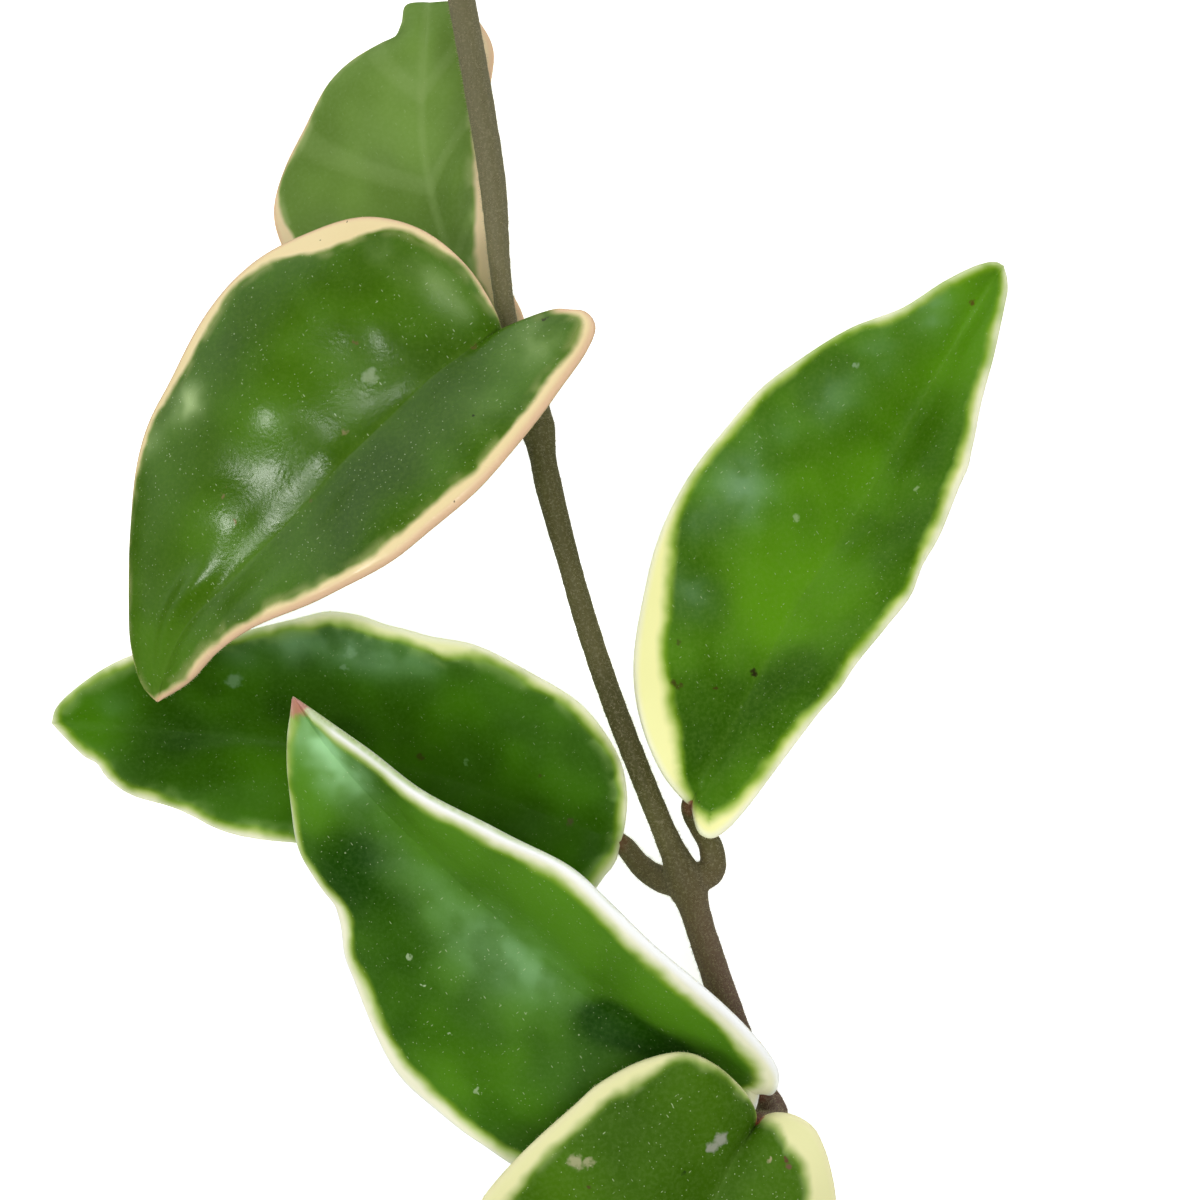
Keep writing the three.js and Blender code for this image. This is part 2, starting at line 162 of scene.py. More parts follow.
# Each leaf: its joint, its stalk's way, its midrib from stalk to tip, its left and right margins seen from
# the base with the upper face on top, and its crown, how far each half arches up. waves move the left and
# right outline out (or in) by some millimetres round a share of the margin: [share, millimetres, length as a
# share]. fold gives how far from the midrib its fold is rounded: [share, millimetres], and crease how deep
# the line along it is: [share, depth]. cream gives the width of the cream along each margin, and edging that
# of the green strip outside it. The rest are places on the upper face, at shares along it and across it,
# where left is negative. swellings are bulges and dents: [along, across, rise in millimetres, reach along,
# reach across, both as shares]. tones_and_shades are paler and darker places, partly the leaf's own uneven
# green, partly painted shade in its folds and hollows and painted light where it tilts: [along, across, reach
# in millimetres, how much paler]. painted_sheen is where a sheen of reflected light is painted pale into the
# green: [along, across, reach in millimetres, cover]. marks are scars, specks and flushes: [along, across,
# reach in millimetres, colour, cover]. What a leaf has none of is left out.
LEAVES = {}
LEAVES["upper_back_leaf"] = dict(
    joint=UPPER_JOINT, stalk=[[-8.6, 25, 12.5], [-10, 27.6, 9]],
    midrib=[
        [-11.9, 29.3, 6.6], [-13, 31.6, 7.2], [-16, 37.5, 6.8], [-20.5, 50, 5], [-22, 61.3, 6],
        [-21.8, 69.4, 6.5], [-21.3, 74.3, 4.3], [-20.5, 73.4, 1],
    ],
    margins=[[
        [-16.3, 26.5, 6], [-25, 26.9, 4], [-34.4, 35, 1.2], [-39.8, 44.9, 0.1], [-40.4, 48.6, 0],
        [-39.1, 54, 0.4], [-36.8, 58.9, 1.2], [-33.9, 64.2, 2.2], [-31, 67, 2.5], [-27.8, 68.7, 2.8],
        [-25.6, 69.5, 3], [-24.6, 71.5, 3.2], [-24, 74, 2.8],
    ], [
        [-8.8, 31, 7.5], [-9.6, 35.5, 9], [-11.9, 40.5, 9], [-13.2, 48.8, 8.6], [-13.8, 57.5, 8],
        [-13.7, 63.8, 7.5], [-13.3, 68.6, 6.5], [-14.8, 71.8, 5.5], [-17.5, 74.3, 3.6],
    ]],
    crown=[1.2, 0.8], waves=[[[0.56, 0.3, 0.08]], []], fold=[[0, 2], [1, 4]], crease=[[0, 0.3], [1, 0.1]],
    cream=[[
        [0, 0.3], [0.3, 1.5], [0.45, 2.5], [0.5, 2.4], [0.54, 1.5], [0.58, 0.5], [0.8, 0.35], [1, 0.3],
    ], [
        [0, 0.3], [0.1, 0.8], [0.2, 2.4], [0.26, 3], [0.35, 2.6], [0.5, 2.1], [0.62, 1.7], [0.75, 2],
        [0.85, 1.2], [0.92, 0.6], [1, 0.3],
    ]],
    tones_and_shades=[[0.58, -0.63, 8, 0.2], [0.74, 0, 6, 0.25], [0.66, -0.9, 7, -0.3], [0.47, 0, 6, -0.3]],
    painted_sheen=[[0.8, -0.1, 8, 0.1], [0.62, -0.3, 8, 0.06]],
)

LEAVES["upper_front_leaf"] = dict(
    joint=UPPER_JOINT, stalk=[[-8.4, 25.6, 18.6], [-9.9, 30, 19.6]],
    midrib=[
        [-11.9, 32.6, 20.8], [-12.6, 32.7, 21.9], [-14.9, 31.8, 23], [-20.6, 27.6, 24.2], [-31, 17.3, 24.5],
        [-41.6, 5.7, 22.4], [-51.3, -3.5, 18.5], [-55.3, -12.8, 13],
    ],
    margins=[[
        [-4.9, 35.9, 25.3], [-1.6, 36, 26], [-0.2, 34.3, 27], [-1.1, 31.2, 28], [-5.3, 25.6, 30],
        [-10.3, 19.4, 32], [-16.1, 12.8, 33], [-24.4, 5.6, 32.5], [-34.3, 0.3, 30], [-43.4, -3.5, 26],
        [-47.6, -6.4, 22.5], [-51.3, -10.3, 17.5],
    ], [
        [-13.1, 35.8, 22.5], [-16.9, 41.8, 23], [-22.6, 46.3, 22.5], [-29.4, 47.8, 21.5], [-36.8, 45.6, 20],
        [-43.4, 41.9, 19], [-48.9, 35.9, 18], [-53.8, 26.4, 16.5], [-57.3, 18.1, 15.5], [-58.3, 8.6, 14.5],
        [-58.5, 0, 13.5], [-58.2, -5.6, 13], [-56.9, -10.5, 12.8],
    ]],
    crown=[1.2, 2.4],
    waves=[[[0.2, -0.55, 0.07], [0.5, -0.6, 0.06], [0.62, -0.25, 0.06]], [[0.63, 0.35, 0.04]]],
    fold=[[0, 1.5], [0.2, 2.5], [0.45, 4], [0.7, 4], [1, 2]],
    crease=[[0, 1], [0.25, 0.6], [0.45, 0.2], [1, 0.1]],
    cream=[[
        [0, 0.2], [0.08, 0.3], [0.12, 0.9], [0.18, 1.4], [0.24, 1.7], [0.4, 1.5], [0.46, 2.2], [0.52, 1.7],
        [0.6, 1.5], [0.7, 1.1], [0.8, 0.9], [0.9, 0.8], [1, 0.4],
    ], [
        [0, 0.2], [0.06, 0.7], [0.18, 1.2], [0.22, 1.9], [0.26, 3.2], [0.3, 4], [0.34, 2.9], [0.38, 1.9],
        [0.43, 1.4], [0.5, 2], [0.6, 1.6], [0.66, 1.4], [0.74, 0.9], [0.86, 0.4], [0.93, 0.7], [1, 0.3],
    ]],
    swellings=[[0.8, 0.16, 1.2, 0.1, 0.12]],
    tones_and_shades=[
        [0.49, 0.4, 6, 0.35], [0.38, 0.42, 5, 0.2], [0.72, 0.28, 6, 0.25], [0.45, -0.3, 5, -0.5],
        [0.5, 0.71, 6, -0.25], [0.58, -0.6, 6, -0.3], [0.3, -0.1, 6, -0.2], [0.93, 0, 7, 0.5],
    ],
    painted_sheen=[
        [0.24, 0.77, 2.4, 0.2], [0.2, 0.65, 2.6, 0.24], [0.16, 0.56, 2.6, 0.24], [0.12, 0.42, 2.4, 0.22],
        [0.17, -0.62, 4.5, 0.28], [0.31, -0.66, 5, 0.12], [0.58, 0.8, 3, 0.5], [0.65, 0.9, 2.4, 0.4],
    ],
    marks=[
        [0.47, -0.07, 0.5, "7a6a3c", 0.8], [0.64, 0.35, 0.35, "8a7a50", 0.8],
        [0.63, 0.36, 0.3, "8a7a50", 0.7], [0.33, 0.36, 0.35, "7a5a34", 0.7],
        [0.43, 0.1, 0.6, "8f8658", 0.8], [0.66, 0.21, 0.35, "8a6a3c", 0.7],
        [0.12, -0.68, 0.45, "3c3420", 0.8], [0.13, 0.04, 0.6, "7a6a3c", 0.7],
        [0.55, -0.05, 0.6, "6a6a34", 0.6], [0.57, -0.03, 0.4, "6a5a30", 0.6],
        [0.32, -0.61, 0.3, "20240c", 0.9], [0.45, -0.96, 0.2, "3c2c14", 0.9],
        [0.27, 0.97, 0.2, "2a1c10", 0.9], [0.31, 0.91, 0.2, "3c2c14", 0.9],
        [0.34, 0.2, 1.2, "a4b48c", 0.55],
    ],
)

LEAVES["middle_left_leaf"] = dict(
    joint=MIDDLE_JOINT, stalk=[[7.8, -34.9, 9], [5.2, -33.3, 7.2]],
    midrib=[
        [2.6, -30.3, 7.2], [0, -29.1, 8.6], [-8.3, -26.1, 6.5], [-15.6, -23.3, 4], [-27.5, -19.8, 1.8],
        [-40, -17.5, 1.2], [-55, -16, 2.2], [-68.6, -15.4, 5.2],
    ],
    margins=[[
        [1.9, -32.8, 9], [0.6, -34.5, 9.5], [-1.5, -36.9, 9], [-7.5, -38.1, 8], [-17.5, -36.6, 6.5],
        [-28.8, -32.8, 5.5], [-37.6, -30.1, 5], [-45.3, -29.1, 5], [-51.3, -26.6, 5], [-57.6, -24, 5],
        [-62, -21.5, 5], [-65.3, -18.8, 5],
    ], [
        [3.1, -28.3, 9], [3.4, -24.4, 9.5], [2.4, -19.8, 9], [-1.3, -14.6, 8.5], [-8.3, -9.4, 8],
        [-15.6, -5.6, 7.5], [-21.6, -4.4, 7.5], [-26.3, -2.8, 7.5], [-30.5, -1.8, 7.5], [-37.5, -2.3, 7.5],
        [-46.3, -4.3, 7], [-53.8, -5.6, 7], [-60, -7.5, 6.5], [-65, -10.6, 6], [-68, -13.5, 5.5],
    ]],
    crown=[1, 1.2],
    waves=[[
        [0.6, 0.5, 0.05], [0.7, 0.4, 0.05], [0.84, 0.8, 0.05], [0.905, -0.5, 0.014],
    ], [
        [0.22, 0.5, 0.06], [0.5, -0.4, 0.03], [0.58, 0.5, 0.03],
    ]],
    fold=[[0, 1.5], [0.3, 4], [1, 4]], crease=[[0, 1], [0.3, 0.8], [0.5, 0.2], [1, 0.2]],
    cream=[[
        [0, 0.2], [0.05, 0.8], [0.1, 0.9], [0.3, 0.6], [0.56, 0.5], [0.66, 0.8], [0.72, 0.6], [0.78, 0.5],
        [0.86, 0.4], [0.9, 0.7], [0.95, 0.3], [1, 0.1],
    ], [
        [0, 0.2], [0.05, 0.4], [0.14, 0.6], [0.2, 0.7], [0.38, 1], [0.42, 1.8], [0.46, 1.2], [0.58, 1.1],
        [0.64, 0.7], [0.75, 0.3], [0.88, 0.2], [1, 0.1],
    ]],
    tones_and_shades=[
        [0.82, -0.14, 7, -0.3], [0.63, 0.37, 8, -0.3], [0.65, -0.37, 6, 0.4], [0.21, 0.51, 6, 0.05],
        [0.4, 0.05, 7, 0.1], [0.95, 0, 6, 0.5], [0.5, -0.8, 6, 0.3],
    ],
    painted_sheen=[
        [0.56, 0.78, 4, 0.22], [0.63, 0.86, 3.5, 0.26], [0.5, 0.8, 3.5, 0.24], [0.44, 0.82, 3, 0.18],
        [0.7, 0.88, 3, 0.18], [0.35, 0.2, 5, 0.03], [0.9, 0.4, 3, 0.12],
    ],
    marks=[
        [0.45, 0.12, 0.5, "4c4a1c", 0.7], [0.15, 0.02, 0.7, "5c5a38", 0.8],
        [0.24, 0.29, 0.5, "4c4a1c", 0.6], [0.63, -0.38, 0.4, "2c2c10", 0.8],
        [0.37, 0.18, 0.6, "7fa868", 0.5], [0.72, 0.59, 1.4, "88a880", 0.45],
        [0.55, 0.74, 1.1, "88a880", 0.45], [0.56, 0.63, 0.7, "88a880", 0.45],
    ],
)

LEAVES["middle_right_leaf"] = dict(
    joint=MIDDLE_JOINT, stalk=[[13.9, -33.8, 10], [13.9, -31, 9.8]],
    midrib=[
        [11.3, -25.8, 12], [12.5, -22.9, 13.5], [16.9, -15.1, 11], [24, -1.6, 5.5], [33.6, 13.1, 1.3],
        [42.3, 28.5, 1.3], [50.5, 41.8, 4],
    ],
    margins=[[
        [10, -24.6, 14], [7.8, -21.8, 15], [5.6, -16.9, 14.5], [4.3, -11.3, 13.5], [4.3, -5, 12],
        [5.6, 2.9, 10.5], [8.3, 10.3, 9.5], [12.5, 17.5, 8.5], [20.3, 26, 8], [25.5, 30.4, 7.5],
        [31.3, 34, 7], [37.9, 36.6, 6.5], [43.1, 39.9, 5.5], [47, 41.8, 4.8], [49.4, 42.3, 4.3],
    ], [
        [12.5, -29.3, 16], [14, -29.8, 16.5], [15.8, -28.8, 16.5], [18.3, -26.1, 16], [22.6, -20.4, 15],
        [31.3, -8.9, 13], [36, -3.1, 12], [40, 2.1, 11], [43.6, 10.8, 9.5], [46.6, 19.4, 8.5],
        [47.6, 24.4, 7.5], [49.3, 31, 6.5], [50.5, 36.5, 5.5], [51, 39.5, 4.8],
    ]],
    crown=[1.5, 1],
    waves=[[
        [0.31, -0.4, 0.06], [0.62, 0.5, 0.05],
    ], [
        [0.34, 0.35, 0.03], [0.55, -0.8, 0.035], [0.7, 0.3, 0.02],
    ]],
    fold=[[0, 1.5], [0.3, 3], [0.5, 5], [1, 2]],
    crease=[[0, 1], [0.3, 0.7], [0.5, 0.2], [0.9, 0.3], [1, 0.6]],
    cream=[[
        [0, 0.1], [0.04, 1], [0.08, 2.6], [0.12, 3.4], [0.18, 3.8], [0.22, 3.3], [0.28, 3.3], [0.34, 2.3],
        [0.38, 1.6], [0.42, 1.1], [0.47, 0.4], [0.54, 0.5], [0.58, 0.7], [0.63, 0.3], [0.7, 0], [0.78, 0],
        [0.82, 0.7], [0.86, 0.1], [0.94, 0], [1, 0.1],
    ], [
        [0, 0.3], [0.04, 1.8], [0.08, 2.3], [0.12, 1.6], [0.18, 0.9], [0.26, 0.7], [0.34, 0.5], [0.42, 0.5],
        [0.5, 0.3], [0.62, 0.7], [0.7, 0.9], [0.75, 0.6], [0.88, 0.3], [1, 0.1],
    ]],
    tones_and_shades=[
        [0.39, -0.74, 6, -0.3], [0.33, 0.9, 7, -0.2], [0.61, 0.6, 7, -0.25], [0.16, -0.23, 6, -0.35],
        [0.28, 0.2, 6, -0.3], [0.5, -0.14, 8, 0.4], [0.4, -0.1, 6, 0.3], [0.64, -0.17, 6, 0.3],
        [0.75, -0.6, 6, -0.1], [0.92, 0, 8, 0.5],
    ],
    painted_sheen=[
        [0.51, -0.68, 5, 0.28], [0.6, -0.76, 3.5, 0.14], [0.69, -0.64, 4.5, 0.18], [0.78, -0.68, 4, 0.16],
        [0.87, -0.72, 4, 0.24], [0.35, -0.65, 4, 0.18], [0.44, -0.8, 3, 0.16],
    ],
    marks=[
        [0.31, -0.07, 0.75, "2c1c0c", 0.9], [0.3, -0.05, 0.4, "3c2a14", 0.8],
        [0.22, -0.57, 0.6, "4c3c18", 0.85], [0.22, -0.62, 0.5, "4c3c18", 0.8],
        [0.28, -0.65, 0.5, "4c4a1c", 0.6], [0.25, -0.28, 0.3, "4c3414", 0.7],
        [0.93, -0.31, 0.6, "6a4a24", 0.8], [0.07, 0.31, 0.4, "4c4a24", 0.7],
        [0.54, -0.32, 0.7, "b0c890", 0.6], [0.66, 0.55, 0.6, "b0c890", 0.6],
        [0.74, -0.71, 0.6, "b0c8a0", 0.5], [0.01, -0.3, 1.0, "a0524a", 0.8],
    ],
)

LEAVES["lower_left_leaf"] = dict(
    joint=LOWER_JOINT, stalk=[[20.8, -64.2, 9.4]],
    midrib=[
        [20, -61.5, 12.3], [18.1, -60, 14], [11.5, -56, 15.3], [1, -50.1, 16], [-7.5, -43.1, 16.5],
        [-17.6, -33.6, 17.5], [-28.1, -23.8, 19.3], [-38.4, -12, 22.5],
    ],
    margins=[[
        [19.2, -63.6, 14.5], [16.5, -66.8, 15.5], [11.5, -69.8, 15.5], [5, -71.8, 15], [-2.5, -72.5, 14.5],
        [-10.9, -70.4, 14], [-20.1, -63.6, 13.5], [-26.5, -56, 13.5], [-29.9, -48.9, 13.5],
        [-31.9, -40.6, 14], [-35.3, -34.3, 15.3], [-37.5, -29.4, 16.5], [-38.4, -21.9, 18.5],
        [-38.5, -16.4, 20.5],
    ], [
        [21.8, -61.4, 14.5], [22.4, -59.5, 17], [21.5, -57.3, 19.5], [18.4, -53.5, 22.5],
        [12.4, -47.8, 25.5], [6.5, -42.5, 27.5], [1, -37.3, 28.5], [-3.8, -33, 29], [-12.5, -28.8, 28.5],
        [-22.3, -23.9, 27], [-29.4, -18.6, 25.5], [-35, -14.6, 24],
    ]],
    crown=[3.5, 1],
    waves=[[
        [0.38, -0.3, 0.03], [0.51, 0.7, 0.05], [0.67, 0.9, 0.03], [0.73, -0.3, 0.015], [0.8, 0.5, 0.04],
    ], [
        [0.4, -0.6, 0.12], [0.6, -0.5, 0.1],
    ]],
    fold=[[0, 2], [0.25, 4], [0.5, 4.5], [0.8, 4], [1, 1.5]],
    crease=[[0, 0.5], [0.2, 0.1], [0.75, 0], [0.9, 0.5], [1, 0.5]],
    cream=[[
        [0, 2.5], [0.06, 2.5], [0.1, 2.2], [0.2, 1.8], [0.34, 1.9], [0.4, 1.7], [0.46, 2.1], [0.5, 2.6],
        [0.56, 2.2], [0.62, 1.8], [0.66, 1.6], [0.7, 2], [0.74, 1.8], [0.78, 0.9], [0.84, 0.4], [0.92, 0.3],
        [1, 0.2],
    ], [
        [0, 2.5], [0.06, 2.3], [0.18, 1.9], [0.34, 1.6], [0.5, 1.6], [0.6, 1.6], [0.7, 1.3], [0.8, 1],
        [0.9, 0.6], [1, 0.3],
    ]],
    edging=[NO_EDGING, [[0, -1], [0.3, -0.5], [0.45, -0.1], [0.6, 0.05], [0.9, 0.1], [0.96, 0], [1, -0.6]]],
    swellings=[[0.92, -0.9, 1.2, 0.07, 0.5]],
    # The three strong darkenings by the midrib near the base are painted shade in the pocket of the fold.
    tones_and_shades=[
        [0.87, -0.52, 6, 0.3], [0.52, 0.51, 9, 0.6], [0.3, 0.5, 7, 0.6], [0.7, 0.5, 6, 0.5],
        [0.48, -0.68, 6, 0.2], [0.77, -0.5, 6, -0.4], [0.59, -0.81, 6, -0.2], [0.37, -0.06, 3, -0.9],
        [0.31, -0.04, 3, -0.9], [0.25, 0.04, 3, -0.8], [0.96, 0, 6, 0.6],
    ],
    painted_sheen=[
        [0.7, -0.14, 4, 0.1], [0.63, -0.2, 5, 0.14], [0.57, -0.14, 5, 0.18], [0.51, -0.1, 5, 0.18],
        [0.46, -0.06, 4, 0.14], [0.9, -0.1, 4.5, 0.28], [0.85, 0.1, 4, 0.2], [0.95, 0, 4, 0.34],
        [0.76, -0.22, 4, 0.1],
    ],
    marks=[
        [0.63, -0.53, 0.45, "b8cca0", 0.7], [0.44, -0.71, 0.5, "b8cca0", 0.6],
        [0.59, -0.55, 0.3, "b8cca0", 0.8], [0.83, -0.03, 0.7, "b8cca0", 0.6],
        [0.52, -0.57, 0.3, "b8cca0", 0.7], [0.53, -0.07, 0.4, "b8cca0", 0.6],
        [0.99, -0.2, 2.2, "c9807a", 0.8],
    ],
)

LEAVES["bottom_leaf"] = dict(
    joint=LOWER_JOINT, stalk=[[21.4, -64.9, 9.5], [21.3, -65.4, 13.5]],
    midrib=[
        [19.6, -65.3, 17.5], [18.5, -66.6, 19.5], [16, -70.9, 21.5], [11.3, -80.6, 22.5], [3.8, -96.3, 19],
        [-4.4, -112.5, 9], [-11.9, -125.6, 0.1],
    ],
    margins=[[
        [21, -64.2, 19], [23, -63.9, 20.6], [25.2, -64.4, 21.6], [27.3, -65.8, 22.2], [28.6, -68.3, 22.5],
        [29.4, -72, 22.5], [29.6, -76.3, 22], [28.5, -85, 20.5], [24.8, -95, 17], [18.1, -105, 12.5],
        [8.8, -114.4, 6.4], [-2.5, -121.9, 2],
    ], [
        [18.8, -62.8, 19.5], [17.3, -60.6, 21.5], [14, -57.8, 23], [10.6, -56.5, 23.8], [5.6, -57.4, 24],
        [-0.3, -60.5, 24], [-3.1, -63, 24], [-7.6, -67, 24], [-11.5, -70.9, 23.5], [-15, -75.3, 23],
        [-17.8, -82.5, 21.5], [-19.4, -91.3, 18.5], [-19.6, -101.3, 14], [-17.8, -112.5, 6.8],
        [-15, -120.6, 2.2],
    ]],
    crown=[1.5, 2], waves=[[[0.11, -0.6, 0.07]], []], fold=[[0, 1], [0.3, 3], [1, 5]],
    crease=[[0, 1], [0.25, 0.9], [0.6, 0.3], [1, 0.2]],
    cream=[[
        [0, 0.2], [0.04, 1.6], [0.08, 3.4], [0.18, 3.2], [0.3, 3], [0.5, 2.6], [0.7, 2], [0.9, 1], [1, 0.4],
    ], [
        [0, 0.2], [0.06, 0.3], [0.1, 0.4], [0.14, 0.6], [0.18, 1.5], [0.22, 2], [0.38, 2.4], [0.5, 2.2],
        [0.7, 2], [0.9, 1], [1, 0.4],
    ]],
    tones_and_shades=[
        [0.17, -0.59, 5, 0.2], [0.14, 0.65, 5, 0.15], [0.24, 0.6, 6, -0.2], [0.2, 0.2, 6, -0.1],
        [0.33, 0.7, 6, 0.4],
    ],
    painted_sheen=[[0.15, 0.5, 5, 0.03], [0.2, -0.5, 5, 0.03]],
    marks=[
        [0.14, 0.28, 1.2, "a8a898", 0.85], [0.16, 0.27, 1.0, "a8a898", 0.8],
        [0.31, 0.79, 1.2, "b4b088", 0.8], [0.3, 0.74, 0.8, "b4b088", 0.7], [0.32, 0.66, 0.5, "5a4a28", 0.8],
        [0.13, -0.58, 0.5, "6a4434", 0.9], [0.14, -0.58, 0.6, "7a5a48", 0.85],
        [0.13, -0.39, 0.5, "b0a880", 0.8], [0.22, 0.3, 0.4, "2c4414", 0.8],
        [0.012, 0.5, 1.4, "b8604c", 0.85],
    ],
)


def placed(points):
    """The real places of points that are laid out as they look from above."""
    points = np.asarray(points, float)
    nearness = (EYE_HEIGHT - points[..., 2:3]) / (EYE_HEIGHT - LAYOUT_HEIGHT)
    return np.concatenate([points[..., :2] * nearness, points[..., 2:3]], axis=-1)


def smooth_curve(points):
    """A centripetal Catmull-Rom curve through the points, as a function of shares of its length."""
    points = np.asarray(points, float)
    run = np.vstack([2 * points[0] - points[1], points, 2 * points[-1] - points[-2]])
    spans = np.linalg.norm(np.diff(run, axis=0), axis=1) ** 0.5
    before, start, end, after = run[:-3], run[1:-2], run[2:-1], run[3:]
    span_before, span, span_after = spans[:-2, None], spans[1:-1, None], spans[2:, None]
    leaving = (start - before) / span_before - (end - before) / (span_before + span) + (end - start) / span
    arriving = (end - start) / span - (after - start) / (span + span_after) + (after - end) / span_after
    leaving, arriving = leaving * span, arriving * span
    last = len(points) - 1

    def at_station(share):
        station = np.clip(share, 0, 1) * last
        i = np.minimum(station.astype(int), last - 1)
        w = (station - i)[..., None]
        step = end[i] - start[i]
        square = 3 * step - 2 * leaving[i] - arriving[i]
        cube = leaving[i] + arriving[i] - 2 * step
        return start[i] + leaving[i] * w + square * w**2 + cube * w**3

    stations = np.linspace(0, 1, CURVE_STEPS + 1)
    steps = np.linalg.norm(np.diff(at_station(stations), axis=0), axis=1)
    lengths = np.concatenate([[0], np.cumsum(steps)])
    return lambda share: at_station(np.interp(share, lengths / lengths[-1], stations))


def bell(distance, width):
    return np.exp(-((distance / width) ** 2))


def unit(vectors):
    return vectors / np.linalg.norm(vectors, axis=-1, keepdims=True)


def widths_at(stations, shares):
    """Widths between given stations of [share, millimetres]."""
    at, width = np.array(stations).T
    return np.interp(shares, at, width)


def ripples(points, length):
    """Smooth uneven heights, mostly from -1 to 1, at points, with humps about the given length across."""
    draw = np.random.default_rng(SEED)
    directions = unit(draw.normal(size=(HUMP_WAVES, 3)))
    directions = directions * draw.uniform(*HUMP_SPREAD, (HUMP_WAVES, 1)) * math.pi / length
    phases = draw.uniform(0, 2 * math.pi, HUMP_WAVES)
    return np.sin(points @ directions.T + phases).sum(-1) / math.sqrt(HUMP_WAVES)


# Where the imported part's origin lies in the layout, from the two leaf tips that reach furthest.
lowest_tip = placed(LEAVES["bottom_leaf"]["midrib"][-1])
leftmost_tip = placed(LEAVES["middle_left_leaf"]["midrib"][-1])
SHIFT = np.array([
    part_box("middle_left_leaf")[0].x * 1000 - leftmost_tip[0],
    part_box("bottom_leaf")[0].y * 1000 - lowest_tip[1],
    0,
])
BOX_LOW, BOX_HIGH = (np.array(corner) for corner in packed_box)


def in_frame(points):
    """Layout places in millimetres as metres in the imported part's frame, kept inside its box."""
    return np.clip((points + SHIFT) / 1000, BOX_LOW, BOX_HIGH)


def mesh_piece(name, points, faces, stands_for=()):
    """A smooth mesh piece that rides with the part. faces is a list of arrays of equal-sided faces."""
    mesh = bpy.data.meshes.new(name)
    mesh.from_pydata(in_frame(points).tolist(), [], [face for group in faces for face in group.tolist()])
    mesh.shade_smooth()
    piece = bpy.data.objects.new(name, mesh)
    bpy.context.scene.collection.objects.link(piece)
    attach(piece, "root")
    if stands_for:
        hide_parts(*stands_for)
    return piece


def tube_faces(rows, count, first=0):
    """Square faces of a closed tube of rows rings of count points, and the two fans that end it."""
    row, column = np.meshgrid(np.arange(rows - 1), np.arange(count), indexing="ij")
    onward = (column + 1) % count
    a, b = first + row * count + column, first + row * count + onward
    squares = np.stack([a, b, b + count, a + count], -1).reshape(-1, 4)
    i = np.arange(count)
    start, end = first + rows * count, first + rows * count + 1
    last = first + (rows - 1) * count
    opening = np.stack([np.full(count, start), first + (i + 1) % count, first + i], -1)
    closing = np.stack([np.full(count, end), last + i, last + (i + 1) % count], -1)
    return [squares, opening, closing]


def leaf_curves(leaf):
    rib = smooth_curve(placed(leaf["midrib"]))
    base, tip = rib(np.array([0.0, 1.0]))
    margins = [smooth_curve(np.vstack([base, placed(margin), tip])) for margin in leaf["margins"]]
    across = margins[1](np.array([0.5]))[0] - margins[0](np.array([0.5]))[0]
    upward = unit(np.cross(across, tip - base))
    return {"rib": rib, "base": base, "tip": tip, "upward": upward, "margins": margins, "leaf": leaf}


def outline_wave(leaf, half, u):
    """How far the outline stands out beyond the plain margin at share u, in millimetres."""
    return sum((rise * bell(u - share, length) for share, rise, length in leaf["waves"][half]), start=0 * u)


def blade_middle(curves, half, u, v):
    """The middle of the blade's thickness at share u of its length, share v from midrib to margin."""
    leaf = curves["leaf"]
    rib = curves["rib"](u**RIB_LAG)
    margin = curves["margins"][half](u)
    width = np.linalg.norm(margin - rib, axis=-1)
    reach = v * (1 + outline_wave(leaf, half, u) / np.maximum(width, END_TAPER))
    swell = np.sin(math.pi * u) ** SWELL_SHARPNESS
    pillow = np.sin(2 * math.pi * (VEIN_PAIRS * u - VEIN_SLANT * v)) * PILLOW_HEIGHT
    furrow = FURROW_DEPTH * widths_at(leaf["crease"], u) * bell(v * width, FURROW_WIDTH)
    lift = swell * (4 * v * (1 - v) * (leaf["crown"][half] + pillow) - furrow)
    across = v if half else -v
    for at, out, rise, length, spread in leaf.get("swellings", []):
        lift = lift + rise * bell(u - at, length) * bell(across - out, spread)
    return rib + (margin - rib) * reach[..., None] + lift[..., None] * curves["upward"]


def half_normal(curves, half, u, v):
    steady = np.clip(u, STEADY_ENDS, 1 - STEADY_ENDS)
    along = blade_middle(curves, half, steady + SLOPE_STEP, v)
    along -= blade_middle(curves, half, steady - SLOPE_STEP, v)
    outward = blade_middle(curves, half, steady, np.minimum(v + SLOPE_STEP, 1))
    outward -= blade_middle(curves, half, steady, np.maximum(v - SLOPE_STEP, 0))
    return unit(np.cross(along, outward) if half == 0 else np.cross(outward, along))


